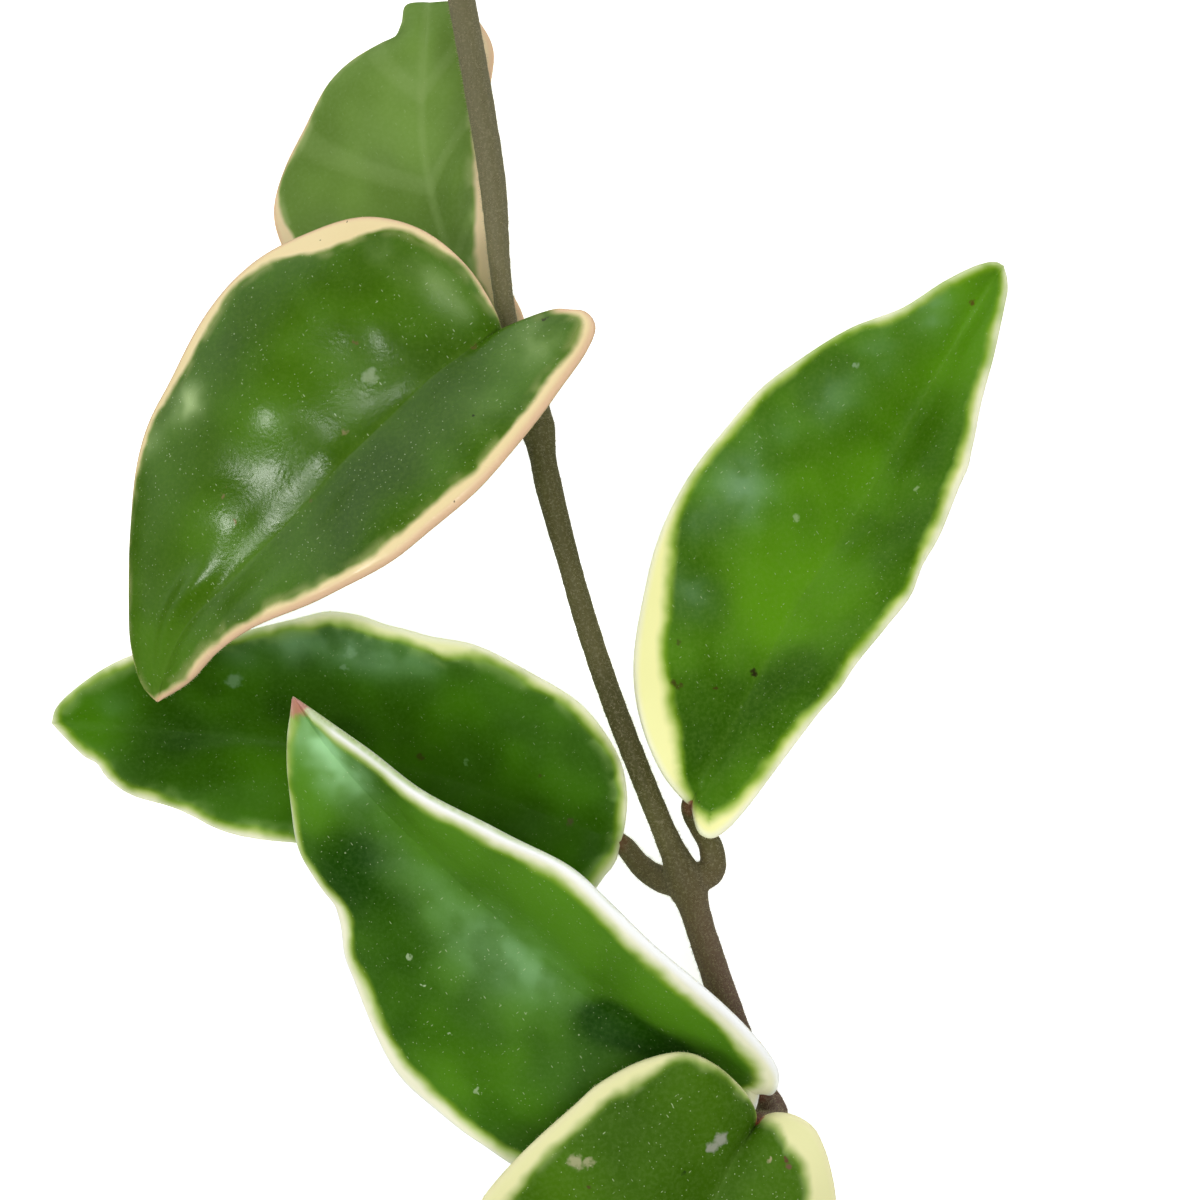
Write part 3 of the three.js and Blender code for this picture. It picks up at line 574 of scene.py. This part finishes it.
def blade_half(curves, half, u):
    """One half of a blade as rows of points: its upper and lower faces, and what its colours follow."""
    width = np.linalg.norm(curves["margins"][half](u) - curves["rib"](u**RIB_LAG), axis=-1)
    rounding = MARGIN_ROUNDING * np.minimum(1, width / END_TAPER)
    plain = np.linspace(0, 1, BLADE_COLUMNS) ** COLUMN_CROWDING * (1 - rounding / width)
    turn = np.sin(np.linspace(0, math.pi / 2, ROUNDING_COLUMNS + 1)[1:])
    v = np.concatenate([plain, 1 - (1 - turn) * rounding / width], axis=1)
    rows = np.broadcast_to(u, v.shape)
    point = blade_middle(curves, half, rows, v)
    ribs = half_normal(curves, 0, u, np.zeros_like(u)) + half_normal(curves, 1, u, np.zeros_like(u))
    beside = np.minimum(1, v * width / CREASE_WIDTH)[..., None]
    normal = unit(unit(ribs) * (1 - beside) + half_normal(curves, half, rows, v) * beside)
    inside = np.clip((1 - v) * width / rounding, 0, 1)
    thinning = np.minimum(1, width / END_TAPER) ** THINNING_SHARPNESS
    depth = BLADE_THICKNESS / 2 * thinning * np.sqrt(1 - (1 - inside) ** 2)
    keel = KEEL_DEPTH * (1 - u) * bell(v * width, KEEL_WIDTH) * thinning * inside
    groove = GROOVE_DEPTH * widths_at(curves["leaf"]["crease"], u) * bell(v * width, GROOVE_WIDTH)
    relief = (RIPPLE_HEIGHT * ripples(point, RIPPLE_LENGTH) - groove) * thinning * inside
    return {
        "upper": point + normal * (depth + relief)[..., None],
        "lower": point - normal * (depth + keel)[..., None],
        "middle": point,
        "rib": v * width,
        "vein": VEIN_PAIRS * rows - VEIN_SLANT * v,
        "along": rows,
        "inside": inside,
    }


def soften_midrib(curves, halves, u):
    """Rounds the blade's fold along its midrib, as a thick leaf folds."""
    narrowest = np.minimum(halves[0]["rib"][:, -1:], halves[1]["rib"][:, -1:])
    reach = np.minimum(widths_at(curves["leaf"]["fold"], u), FOLD_SHARE * narrowest)
    bend = 0
    for half in halves:
        rise = (half["middle"] - half["middle"][:, :1]) @ curves["upward"]
        risen = [np.interp(r, rib, up) for r, rib, up in zip(reach[:, 0], half["rib"], rise)]
        bend = bend + np.array(risen)[:, None] / reach / 2
    for half in halves:
        filling = bend * reach / 2 * np.clip(1 - half["rib"] / reach, 0, 1) ** 2
        for face in ("upper", "lower", "middle"):
            half[face] = half[face] + filling[..., None] * curves["upward"]


def margin_distances(curves, half, points):
    """How far points lie from one margin, how far past its cream, and how far inside its green edging."""
    shares = np.linspace(0, 1, MARGIN_STATIONS)
    margin = blade_middle(curves, half, shares, np.ones_like(shares))
    flat = points.reshape(-1, 3)
    apart = np.linalg.norm(flat[:, None] - margin[None], axis=-1)
    nearest = apart.argmin(1)
    rim = apart[np.arange(len(flat)), nearest]
    past = rim - widths_at(curves["leaf"]["cream"][half], shares[nearest])
    edging = widths_at(curves["leaf"].get("edging", NO_EDGINGS)[half], shares[nearest]) - rim
    return [distance.reshape(points.shape[:-1]) for distance in (rim, past, edging)]


def blade_spot(curves, along, across):
    """A place on a blade's upper face, at shares along it and across it, where left is negative."""
    half = int(across > 0)
    u, v = np.array([[along]]), np.array([[abs(across)]])
    middle = blade_middle(curves, half, u, v)
    return (middle + half_normal(curves, half, u, v) * BLADE_THICKNESS / 2)[0, 0]


def soft_places(curves, points, places):
    """How strongly soft round places show at points: [along, across, reach in millimetres, strength]."""
    shown = np.zeros(points.shape[:-1])
    for along, across, reach, strength in places:
        apart = np.linalg.norm(points - blade_spot(curves, along, across), axis=-1)
        shown += strength * bell(apart, reach)
    return shown


def leaf_piece(name, leaf):
    """A leaf blade in fine mesh, with the distances that its colours follow as attributes."""
    curves = leaf_curves(leaf)
    share = np.arange(1, BLADE_ROWS) / BLADE_ROWS
    u = (share - ROW_CROWDING * np.sin(2 * math.pi * share))[:, None]
    halves = [blade_half(curves, half, u) for half in (0, 1)]
    for half in halves:
        (rim, past, edging), (other_rim, other_past, other_edging) = (
            margin_distances(curves, side, half["middle"]) for side in (0, 1)
        )
        half["rim"] = np.minimum(rim, other_rim)
        half["past"] = np.minimum(past, other_past)
        half["edging"] = np.maximum(edging, other_edging)
        half["over"] = half["inside"] ** 0.5
        half["under"] = -half["over"]
        # Painted shade and light mixed with the leaf's own tone, and painted sheen, each as soft round
        # places.
        half["tone_and_shade"] = PLAIN_SHADE + soft_places(curves, half["middle"], leaf["tones_and_shades"])
        half["painted_sheen"] = soft_places(curves, half["middle"], leaf["painted_sheen"])
    soften_midrib(curves, halves, u)

    def ring(upper, lower):
        """Once round each row: the left margin, over the upper face to the right one, and back below."""
        return np.concatenate(
            [upper[0][:, ::-1], upper[1][:, 1:], lower[1][:, -2::-1], lower[0][:, 1:-1]], axis=1
        )

    def both(key):
        return [half[key] for half in halves]

    rings = ring(both("upper"), both("lower"))
    rows, count = rings.shape[:2]
    points = np.vstack([rings.reshape(-1, 3), curves["base"], curves["tip"]])
    piece = mesh_piece(name + "_blade", points, tube_faces(rows, count), [name])
    for key in ("rib", "vein", "rim", "past", "edging", "tone_and_shade", "painted_sheen"):
        write_attribute(piece, key, ring(both(key), both(key)), both(key))
    write_attribute(piece, "face", ring(both("over"), both("under")), both("over"))
    return piece, curves


def write_attribute(piece, key, rings, halves):
    """Stores one number for each point of a blade, with its two end points taken from the nearest rows."""
    ends = [halves[0][0, -1], halves[0][-1, -1]]
    values = np.concatenate([rings.ravel(), ends]).astype(np.float32)
    piece.data.attributes.new(key, "FLOAT", "POINT").data.foreach_set("value", values)


def rod_rings(curve, radius_at, sides, ring_count):
    """The rings of a round rod along a curve, without twist, and its two end points."""
    shares = np.linspace(0, 1, ring_count)
    centres = curve(shares)
    tangents = unit(np.gradient(centres, axis=0))
    across = unit(np.cross(tangents, [0.0, 0.0, 1.0]))
    above = np.cross(across, tangents)
    angles = np.linspace(0, 2 * math.pi, sides, endpoint=False)
    circle = np.cos(angles)[:, None] * across[:, None] + np.sin(angles)[:, None] * above[:, None]
    rings = centres[:, None] + circle * radius_at(shares)[:, None, None]
    return np.vstack([rings.reshape(-1, 3), centres[0], centres[-1]])


def stem_radius(curve, shares):
    """The stem's radius along its length, swollen at the joints."""
    knots = placed(np.array(STEM)[:, :3])
    centres = curve(shares)
    stations = np.linspace(0, 1, STEM_STATIONS)
    reached = np.array([np.linalg.norm(curve(stations) - knot, axis=1).argmin() for knot in knots])
    plain = np.interp(shares, stations[reached], np.array(STEM)[:, 3])
    joints = placed([UPPER_JOINT, MIDDLE_JOINT, LOWER_JOINT])
    nearest = np.linalg.norm(centres[:, None] - joints[None], axis=-1).min(1)
    return plain + KNUCKLE_RISE * bell(nearest, KNUCKLE_LENGTH)


def stalk_radius(shares):
    """A stalk's radius from its joint, where it flares, to its end in the leaf's keel."""
    return STALK_RADIUS + STALK_FLARE * (1 - shares) ** 3 - STALK_TAPER * shares**4


def stalk_curve(leaf):
    """A stalk's way from its joint to the underside of its leaf, where it runs into the keel."""
    ends = np.array(leaf["midrib"][:2]) - [[0, 0, STALK_DROP], [0, 0, 2 * STALK_DROP]]
    return smooth_curve(placed([leaf["joint"], *leaf["stalk"], *ends]))


def stem_piece():
    """The stem with its six stalks as one skin, melted together and roughened like young bark."""
    curve = smooth_curve(placed(np.array(STEM)[:, :3]))
    parts = [(rod_rings(curve, lambda s: stem_radius(curve, s), STEM_SIDES, STEM_RINGS), STEM_RINGS)]
    for leaf in LEAVES.values():
        parts.append((rod_rings(stalk_curve(leaf), stalk_radius, STEM_SIDES, STALK_RINGS), STALK_RINGS))
    faces, first = [], 0
    for points, ring_count in parts:
        faces += tube_faces(ring_count, STEM_SIDES, first)
        first += len(points)
    piece = mesh_piece("stem_bark", np.vstack([points for points, _ in parts]), faces, ["stem"])
    melt = piece.modifiers.new("melt", "REMESH")
    melt.mode = "VOXEL"
    melt.voxel_size = STEM_VOXEL / 1000
    soften = piece.modifiers.new("soften", "SMOOTH")
    soften.iterations = STEM_SMOOTHING
    graph = bpy.context.evaluated_depsgraph_get()
    melted = bpy.data.meshes.new_from_object(piece.evaluated_get(graph))
    piece.modifiers.clear()
    piece.data = melted
    places = np.empty(len(melted.vertices) * 3)
    melted.vertices.foreach_get("co", places)
    places = places.reshape(-1, 3)
    normals = np.array([normal.vector for normal in melted.vertex_normals])
    coarse, fine = BARK_LUMPS
    relief = ripples(places * 1000, coarse) + ripples(places[:, [1, 2, 0]] * 1000, fine) * FINE_LUMPS
    places = np.clip(places + normals * (BARK_RELIEF / 1000 * relief)[:, None], BOX_LOW, BOX_HIGH)
    melted.vertices.foreach_set("co", places.ravel())
    melted.shade_smooth()
    return piece, places * 1000 - SHIFT, normals


def hairs_piece(name, roots, leans, lengths):
    """Short fine hairs as slim closed spikes with three sides, one at each root, along its lean."""
    draw = np.random.default_rng(SEED)
    count = len(roots)
    lean = unit(leans + draw.normal(0, HAIR_STRAY, (count, 3)))
    tall = draw.uniform(*lengths, (count, 1))
    across = unit(np.cross(lean, draw.normal(size=(count, 3))))
    beside = np.cross(lean, across)
    ends = roots + lean * tall
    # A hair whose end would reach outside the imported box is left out.
    standing = np.all((in_frame(ends) * 1000 - SHIFT - ends) ** 2 < 1e-9, axis=1)
    feet = roots - lean * HAIR_SINK
    turns = [math.radians(turn) for turn in (0, 120, 240)]
    corners = [feet + HAIR_RADIUS * (math.cos(t) * across + math.sin(t) * beside) for t in turns]
    points = np.stack([*corners, ends], axis=1)[standing].reshape(-1, 3)
    first = 4 * np.arange(standing.sum())[:, None]
    sides = [[0, 2, 1], [0, 1, 3], [1, 2, 3], [2, 0, 3]]
    return mesh_piece(name, points, [first + np.array(side) for side in sides])


def stem_hairs(places, normals):
    draw = np.random.default_rng(SEED)
    chosen = draw.choice(len(places), STEM_HAIRS, replace=False)
    return hairs_piece("stem_hairs", places[chosen], normals[chosen], STEM_HAIR_LENGTH)


def margin_hairs(all_curves):
    """The short fringe that grows along every leaf's margins."""
    draw = np.random.default_rng(SEED)
    roots, leans = [], []
    for curves in all_curves:
        length = np.linalg.norm(curves["tip"] - curves["base"])
        for half in (0, 1):
            shares = draw.uniform(*FRINGE, int(length * MARGIN_HAIRS_PER_MM))
            edge = blade_middle(curves, half, shares, np.ones_like(shares))
            inner = blade_middle(curves, half, shares, np.full_like(shares, FRINGE_AIM))
            roots.append(edge)
            leans.append(unit(edge - inner))
    return hairs_piece(
        "margin_hairs", np.vstack(roots), np.vstack(leans), MARGIN_HAIR_LENGTH
    )


def srgb(colour):
    """A hex colour such as "3f7a1e" as linear red, green, blue and alpha."""
    shares = [int(colour[i : i + 2], 16) / 255 for i in (0, 2, 4)]
    return [c / 12.92 if c <= 0.04045 else ((c + 0.055) / 1.055) ** 2.4 for c in shares] + [1]


def per_metre(size):
    """The texture scale at which one cell of a pattern is size millimetres across."""
    return 1000 / size


def add(tree, kind, inputs=(), out=0, **settings):
    """Adds a shader node with its settings, gives its inputs values or links, and returns an output.

    inputs is a dict by name or number, or a list in the node's own order.
    """
    new = tree.nodes.new("ShaderNode" + kind)
    for name, value in settings.items():
        setattr(new, name, value)
    given = inputs.items() if isinstance(inputs, dict) else enumerate(inputs)
    for key, value in given:
        if isinstance(value, bpy.types.NodeSocket):
            tree.links.new(value, new.inputs[key])
        else:
            new.inputs[key].default_value = srgb(value) if isinstance(value, str) else value
    return new.outputs[out] if new.outputs else None


def new_material(name):
    material = bpy.data.materials.new(name)
    material.use_nodes = True
    material.node_tree.nodes.clear()
    return material, material.node_tree


# The patterns in the leaves' wax and green, in millimetres.
CLOUD_SIZE = 8.0
PATCH_SIZE = 4.0
BORDER_WAVE = 4.5
LEAF_GRAIN = 0.5
CRINKLE_SIZE = 0.55
CRINKLE_DEPTH = 0.08
MIDRIB_WIDTH = 1.1
RIM_WIDTH = 1.1
EDGING_BLUR = 0.2

CLOUDING = 0.12  # how much lighter and darker the green gets in clouds, as a share of its whole range
DULLING = 0.08  # how much rougher the wax is in patches

# The scars, specks and flushes, and the patterns of the bark, in millimetres.
MARK_GRAIN = 0.9
MARK_STRAY = 1.6  # how far a mark's outline strays at most
MARK_CORE = 0.4  # the share of its reach within which a mark is full
STALK_FLUSH = 1.6  # how far the red at a stalk's end reaches
BARK_CLOUDS = 16.0
FELT_GRAIN = 0.3
FELT_DEPTH = 0.06
DOWN_PATCHES = 1.5

# Between which places up the frame, in metres, the bark turns silvery towards the young end of the vine, and
# brown towards the old one.
SILVERY_BARK = (0.04, 0.07)
BROWN_BARK = (0.0, -0.03)

# A MapRange node's inputs are the value, its range's two ends, and what it turns them into. EASED rounds the
# ends off. BLEND lays one colour over another, by the three inputs after it.
EASED = {"interpolation_type": "SMOOTHSTEP"}
BLEND = {"data_type": "RGBA", "out": 2}
COVER, UNDER, OVER = 0, 6, 7

# The silvery dots and dashes: spacing, how many times longer than wide, turn in degrees, dot radius in
# millimetres, and the share of them that shows. The real ones are down to 0.05 mm across, drawn coarser here
# so that they show.
FLECKS = [
    (0.5, 1, 0, 0.1, 0.7),
    (0.6, 3.5, 35, 0.09, 0.6),
    (0.7, 3.5, -50, 0.09, 0.6),
    (2.2, 1, 0, 0.17, 0.35),
]
FLECK_CORE = 0.4  # the share of its radius within which a fleck is full


def silvery_flecks(tree, place):
    """Where the green shows its tiny silvery dots and dashes, the air pockets under the leaf's skin."""
    cover = 0.0
    for spacing, longer, turn, radius, share in FLECKS:
        stretch = {"Vector": place, "Rotation": (0, 0, math.radians(turn)), "Scale": (1, longer, 1)}
        stretched = add(tree, "Mapping", stretch, vector_type="TEXTURE")
        gap = add(tree, "TexVoronoi", {"Vector": stretched, "Scale": per_metre(spacing)}, out="Distance")
        chance = add(tree, "SeparateColor", [gap.node.outputs["Color"]], out="Red")
        shown = add(tree, "MapRange", [chance, 1 - share], **EASED)
        edge = radius / spacing
        dot = add(tree, "MapRange", [gap, edge, edge * FLECK_CORE], **EASED)
        dot = add(tree, "Math", [dot, shown], operation="MULTIPLY")
        cover = add(tree, "Math", [cover, dot], operation="MAXIMUM")
    return cover


def layered(tree, colour, layers):
    """Lays tints over a colour: [tint, value, where the value starts to show it, where it is full, cover]."""
    for tint, value, start, full, cover in layers:
        shown = add(tree, "MapRange", [value, start, full, 0.0, cover], **EASED)
        colour = add(tree, "Mix", {COVER: shown, UNDER: colour, OVER: tint}, **BLEND)
    return colour


def marked(tree, place, colour, marks):
    """Lays a few ragged scars, specks and flushes over a colour: [place in metres, reach, hex, cover]."""
    grain = {"Vector": place, "Scale": per_metre(MARK_GRAIN), "Detail": 2.0}
    ragged = add(tree, "TexNoise", grain, out="Color")
    stray = add(tree, "VectorMath", [ragged, (0.5, 0.5, 0.5)], operation="SUBTRACT")
    stray = add(tree, "VectorMath", {0: stray, "Scale": MARK_STRAY / 1000}, operation="SCALE")
    near = add(tree, "VectorMath", [place, stray], operation="ADD")
    for centre, reach, tint, cover in marks:
        gap = add(tree, "VectorMath", [near, centre], operation="DISTANCE", out="Value")
        colour = layered(tree, colour, [(tint, gap, reach / 1000, reach * MARK_CORE / 1000, cover)])
    return colour


def waxy_leaf(name, look, marks):
    """A living wax plant leaf: a thick fleshy blade grown smooth under a skin of its own wax.

    The wax gives soft reflections with a fine crinkle in them, and in places a sheen painted pale into the
    colour. The green lies under the skin in uneven layers, with painted shade and light in its folds and
    tilts, sprinkled with tiny silvery flecks, and thins out where the cream margin begins, with a painted
    backlit glow along it.
    """
    material, tree = new_material(name)
    place = add(tree, "TexCoord", out="Object")
    past, rib, vein, rim, edging, tone_and_shade, painted_sheen, face = (
        add(tree, "Attribute", out="Fac", attribute_name=key)
        for key in ("past", "rib", "vein", "rim", "edging", "tone_and_shade", "painted_sheen", "face")
    )
    clouds, patches, wander, grain, crinkle = (
        add(tree, "TexNoise", {"Vector": place, "Scale": per_metre(size), "Detail": detail})
        for size, detail in (
            (CLOUD_SIZE, 1.0), (PATCH_SIZE, 1.5), (BORDER_WAVE, 2.0), (LEAF_GRAIN, 2.0), (CRINKLE_SIZE, 1.0)
        )
    )

    # The green, paler and darker in places, partly its own tone and partly painted shade and light, and in
    # clouds, with a fine grain, faint side veins, a pale midrib, painted sheen and silvery flecks.
    clouding = add(tree, "MapRange", [clouds, 0.3, 0.7, -CLOUDING, CLOUDING], **EASED)
    shade = add(tree, "Math", [tone_and_shade, clouding], operation="ADD")
    painted_sheen_cover = add(tree, "MapRange", [patches, 0.35, 0.65, 0.7, 1.8], **EASED)
    wave = add(tree, "Math", [vein, 2 * math.pi], operation="MULTIPLY")
    wave = add(tree, "Math", [wave], operation="SINE")
    green = layered(tree, look["deep_green"], [
        (look["bright_green"], shade, 0.0, 1.0, 1.0),
        (look["pale_green"], grain, 0.35, 0.75, look["grain"]),
        (look["pale_green"], wave, -0.6, -1.0, look["veins"]),
        (look["pale_green"], rib, MIDRIB_WIDTH, 0.1, look["midrib"]),
        # Painted sheen: pale patches that stand in for light reflected off the wax.
        (look["painted_sheen"], painted_sheen, 0.0, 1.0, painted_sheen_cover),
        ("c9d8a8", silvery_flecks(tree, place), 0.0, 1.0, look["flecks"]),
    ])

    # The border: the cream's uneven edge, patches of thin green before it, and a painted backlit glow beside
    # it.
    stray = add(tree, "MapRange", [wander, 0.25, 0.75, -look["wander"], look["wander"]], **EASED)
    border = add(tree, "Math", [past, stray], operation="ADD")
    thinning = add(tree, "MapRange", [patches, 0.42, 0.6, 0.1, 0.8], **EASED)
    ease = look["border_softness"] / 2
    green = layered(tree, green, [
        (look["thin_green"], border, look["thin_width"], 0.2, thinning),
        (look["backlit_glow_green"], border, look["backlit_glow_width"], 0.0, look["strip"]),
    ])
    cream = layered(tree, look["cream"], [(look["flush"], rim, RIM_WIDTH, 0.1, 1.0)])
    colour = layered(tree, cream, [
        (green, border, -ease, ease, 1.0),
        ("a9c26a", edging, -EDGING_BLUR, EDGING_BLUR, 1.0),
    ])
    colour = marked(tree, place, colour, marks)

    # The underside is the same leaf seen through a duller, paler skin.
    colour = layered(tree, colour, [("9fb27a", face, 0.0, -0.6, 0.4)])

    relief = {"Height": crinkle, "Strength": look["crinkle"], "Distance": CRINKLE_DEPTH / 1000}
    roughness = [patches, 0.3, 0.7, look["gloss"], look["gloss"] + DULLING]
    finish = {
        "Base Color": colour,
        "Roughness": add(tree, "MapRange", roughness, **EASED),
        "Normal": add(tree, "Bump", relief),
        "IOR": 1.45,
        "Specular IOR Level": look["shine"],
    }
    add(tree, "OutputMaterial", [add(tree, "BsdfPrincipled", finish)])
    return material


def young_bark(marks):
    """The skin of a young twining stem: thin bark felted with very short hairs, silvery olive where it is
    youngest and browner down the vine.

    The felt makes it matt and finely grained, and gives its edges a pale sheen.
    """
    material, tree = new_material("young_bark")
    place = add(tree, "TexCoord", out="Object")
    lengths = add(tree, "TexNoise", {"Vector": place, "Scale": per_metre(BARK_CLOUDS), "Detail": 1.0})
    up_the_vine = add(tree, "SeparateXYZ", [place], out="Y")
    young = layered(tree, "514e2a", [("625e38", lengths, 0.35, 0.65, 1.0)])
    old = layered(tree, "574632", [("70594a", lengths, 0.35, 0.65, 1.0)])
    felt = add(tree, "TexNoise", {"Vector": place, "Scale": per_metre(FELT_GRAIN), "Detail": 2.0})
    bark = layered(tree, young, [
        ("7d7858", up_the_vine, *SILVERY_BARK, 0.8),
        (old, up_the_vine, *BROWN_BARK, 1.0),
        ("a8a080", felt, 0.45, 0.75, 0.3),
    ])
    finish = {
        "Base Color": marked(tree, place, bark, marks),
        "Roughness": 0.5,
        "Normal": add(tree, "Bump", {"Height": felt, "Strength": 0.3, "Distance": FELT_DEPTH / 1000}),
        "Sheen Weight": 0.12,
        "Sheen Roughness": 0.4,
        "Sheen Tint": "e8e0c0",
        "IOR": 1.45,
        "Specular IOR Level": 0.4,
    }
    add(tree, "OutputMaterial", [add(tree, "BsdfPrincipled", finish)])
    return material


def plant_hair(name, root_tint, tip_tint):
    """Short living plant hairs: clear, dry and pale, a little darker in patches, so they read as down."""
    material, tree = new_material(name)
    place = add(tree, "TexCoord", out="Object")
    patches = add(tree, "TexNoise", {"Vector": place, "Scale": per_metre(DOWN_PATCHES)})
    tint = add(tree, "Mix", {COVER: patches, UNDER: root_tint, OVER: tip_tint}, **BLEND)
    finish = {"Base Color": tint, "Roughness": 0.6, "IOR": 1.5}
    add(tree, "OutputMaterial", [add(tree, "BsdfPrincipled", finish)])
    return material


TABLE_REACH = 3.0
TABLE_DROP = 0.0002  # how far the table top lies below the sprig, so that the two don't touch


def plain_floor():
    """A plain white table top that glows, so that it stays white under the leaves.

    The wax doesn't mirror it.
    """
    mesh = bpy.data.meshes.new("floor")
    turns = ((-1, -1), (1, -1), (1, 1), (-1, 1))
    mesh.from_pydata([(x * TABLE_REACH, y * TABLE_REACH, -TABLE_DROP) for x, y in turns], [], [(0, 1, 2, 3)])
    floor = bpy.data.objects.new("floor", mesh)
    bpy.context.scene.collection.objects.link(floor)
    material, tree = new_material("white_table_top")
    finish = {"Base Color": "f4f4f2", "Roughness": 0.9, "Emission Color": "ffffff", "Emission Strength": 0.8}
    add(tree, "OutputMaterial", [add(tree, "BsdfPrincipled", finish)])
    mesh.materials.append(material)
    floor.visible_glossy = False


# The studio's walls, by how steeply one looks up at them: where they are palest, how far from there they are
# dim and pale, and how bright that is. Then how bright they are past the vine's old end and its young one.
WALL_HEIGHT = 0.25
WALL_FADE = (0.5, 0.1)
WALL_GLOW = (0.03, 0.5)
END_WALLS = (-0.4, 0.6)
END_WALLS_GLOW = (0.5, 2.0)


def studio_room():
    """Pale walls all round, palest past the vine's young end, that fade to a dark ceiling."""
    world = bpy.data.worlds.new("studio_room")
    bpy.context.scene.world = world
    world.use_nodes = True
    tree = world.node_tree
    tree.nodes.clear()
    direction = add(tree, "TexCoord", out="Generated")
    axes = add(tree, "SeparateXYZ", [direction]).node.outputs
    away = add(tree, "Math", [axes["Z"], WALL_HEIGHT], operation="SUBTRACT")
    away = add(tree, "Math", [away], operation="ABSOLUTE")
    walls = add(tree, "MapRange", [away, *WALL_FADE, *WALL_GLOW], **EASED)
    ends = add(tree, "MapRange", [axes["Y"], *END_WALLS, *END_WALLS_GLOW], **EASED)
    strength = add(tree, "Math", [walls, ends], operation="MULTIPLY")
    add(tree, "OutputWorld", [add(tree, "Background", {"Color": "f4f8ff", "Strength": strength})])


LAMP_DISTANCE = 0.6


def soft_light(name, azimuth, elevation, size, power, colour, mirrored):
    """A square soft light in the direction given in degrees, aimed at the middle of the sprig.

    mirrored says whether the wax shows its reflection.
    """
    light = bpy.data.lights.new(name, "AREA")
    light.size = size
    light.energy = power
    light.color = srgb(colour)[:3]
    lamp = bpy.data.objects.new(name, light)
    turn, climb = math.radians(azimuth), math.radians(elevation)
    aim = Vector((math.cos(turn) * math.cos(climb), math.sin(turn) * math.cos(climb), math.sin(climb)))
    lamp.location = aim * LAMP_DISTANCE + Vector((SHIFT[0] / 1000, SHIFT[1] / 1000, 0.0))
    lamp.rotation_euler = aim.to_track_quat("Z", "Y").to_euler()
    lamp.visible_glossy = mirrored
    bpy.context.scene.collection.objects.link(lamp)


def camera():
    """The eye of the layout, straight above, looking down with the vine's young end at the top."""
    data = bpy.data.cameras.new("camera")
    data.lens = FOCAL_LENGTH
    data.sensor_width = SENSOR_WIDTH
    data.clip_start = 0.01
    eye = bpy.data.objects.new("camera", data)
    eye.location = (np.array([0, 0, EYE_HEIGHT]) + SHIFT) / 1000
    bpy.context.scene.collection.objects.link(eye)
    bpy.context.scene.camera = eye


# What sets each leaf's finish apart, in the order of LEAVES. grain, veins, midrib and flecks say how clearly
# those show, and painted_sheen is the colour of the sheen of reflected light painted pale into the green.
# thin_width is how far patches of thin green reach in from the cream, backlit_glow_width how far the painted
# backlit glow beside it reaches, in backlit_glow_green, and strip how clearly that shows. wander is how far
# the cream's border strays to either side and border_softness how wide it fades. flush is the colour of the
# outermost rim. gloss is the wax's roughness, shine how much light it mirrors, and crinkle how strong its
# fine crinkle is. The widths are in millimetres.
LOOKS = dict(
    deep_green=["617f30", "3a5c02", "264b00", "386200", "204a00", "385c04"],
    bright_green=["80a149", "568210", "4e8208", "669c14", "5e921c", "50780e"],
    pale_green=["9bb36e", "7b9a40", "6c9444", "84a64a", "749a50", "86a258"],
    grain=[0.1, 0.12, 0.1, 0.14, 0.1, 0.12],
    veins=[0.2, 0.02, 0.03, 0.02, 0.02, 0.02],
    midrib=[0.25, 0.1, 0.05, 0.06, 0.0, 0.1],
    flecks=[0.15, 0.6, 0.25, 0.45, 0.5, 0.6],
    painted_sheen=["b6d08c", "bdd493", "b4e0b0", "aed0b6", "bdeeb4", "bdd493"],
    thin_green=["9fb070", "94a05c", "8fae60", "9fb766", "92ae6c", "9fb070"],
    thin_width=[1.4, 1.6, 2.4, 1.4, 1.4, 1.6],
    backlit_glow_green=["8fae4a", "8fae3a", "9cbc28", "96bc10", "a8c434", "86a828"],
    strip=[0.3, 0.25, 0.7, 0.8, 0.85, 0.6],
    backlit_glow_width=[0.8, 0.7, 1.2, 1.3, 1.6, 1.2],
    cream=["f4dfb4", "f6e2ae", "f2f2b8", "fffcb6", "fdfbdc", "ebe8b0"],
    flush=["ecc8a0", "ecc8a2", "fbfadc", "fffddc", "fffffa", "eee8b8"],
    border_softness=[0.9, 0.9, 1.5, 1.7, 2.0, 1.6],
    wander=[0.25, 0.3, 0.35, 0.3, 0.35, 0.35],
    gloss=[0.4, 0.2, 0.35, 0.3, 0.28, 0.34],
    shine=[0.25, 0.55, 0.12, 0.25, 0.25, 0.12],
    crinkle=[0.1, 0.25, 0.1, 0.15, 0.25, 0.15],
)

all_curves = []
for number, (leaf_name, leaf) in enumerate(LEAVES.items()):
    look = {key: values[number] for key, values in LOOKS.items()}
    blade, blade_curves = leaf_piece(leaf_name, leaf)
    all_curves.append(blade_curves)
    marks = [
        (in_frame(blade_spot(blade_curves, along, across)), reach, tint, cover)
        for along, across, reach, tint, cover in leaf.get("marks", [])
    ]
    blade.data.materials.append(waxy_leaf(leaf_name + "_wax", look, marks))
stem, bark_places, bark_normals = stem_piece()
stem.data.materials.clear()
flushes = [(in_frame(curves["base"]), STALK_FLUSH, "7a3a30", 0.4) for curves in all_curves]
stem.data.materials.append(young_bark(flushes))
stem_hairs(bark_places, bark_normals).data.materials.append(plant_hair("bark_down", "a89c78", "cfc6a4"))
margin_hairs(all_curves).data.materials.append(plant_hair("margin_down", "d6cc9c", "f4ecc8"))
plain_floor()
studio_room()
soft_light("window", 177, 53, size=0.1, power=0.5, colour="ffffff", mirrored=True)
soft_light("high_window", 146, 76, size=0.05, power=0.16, colour="ffffff", mirrored=True)
soft_light("overhead", -60, 80, size=0.5, power=2.7, colour="fbfcff", mirrored=False)
camera()
bpy.context.scene.view_settings.view_transform = "Standard"
bpy.context.scene.view_settings.gamma = 0.9
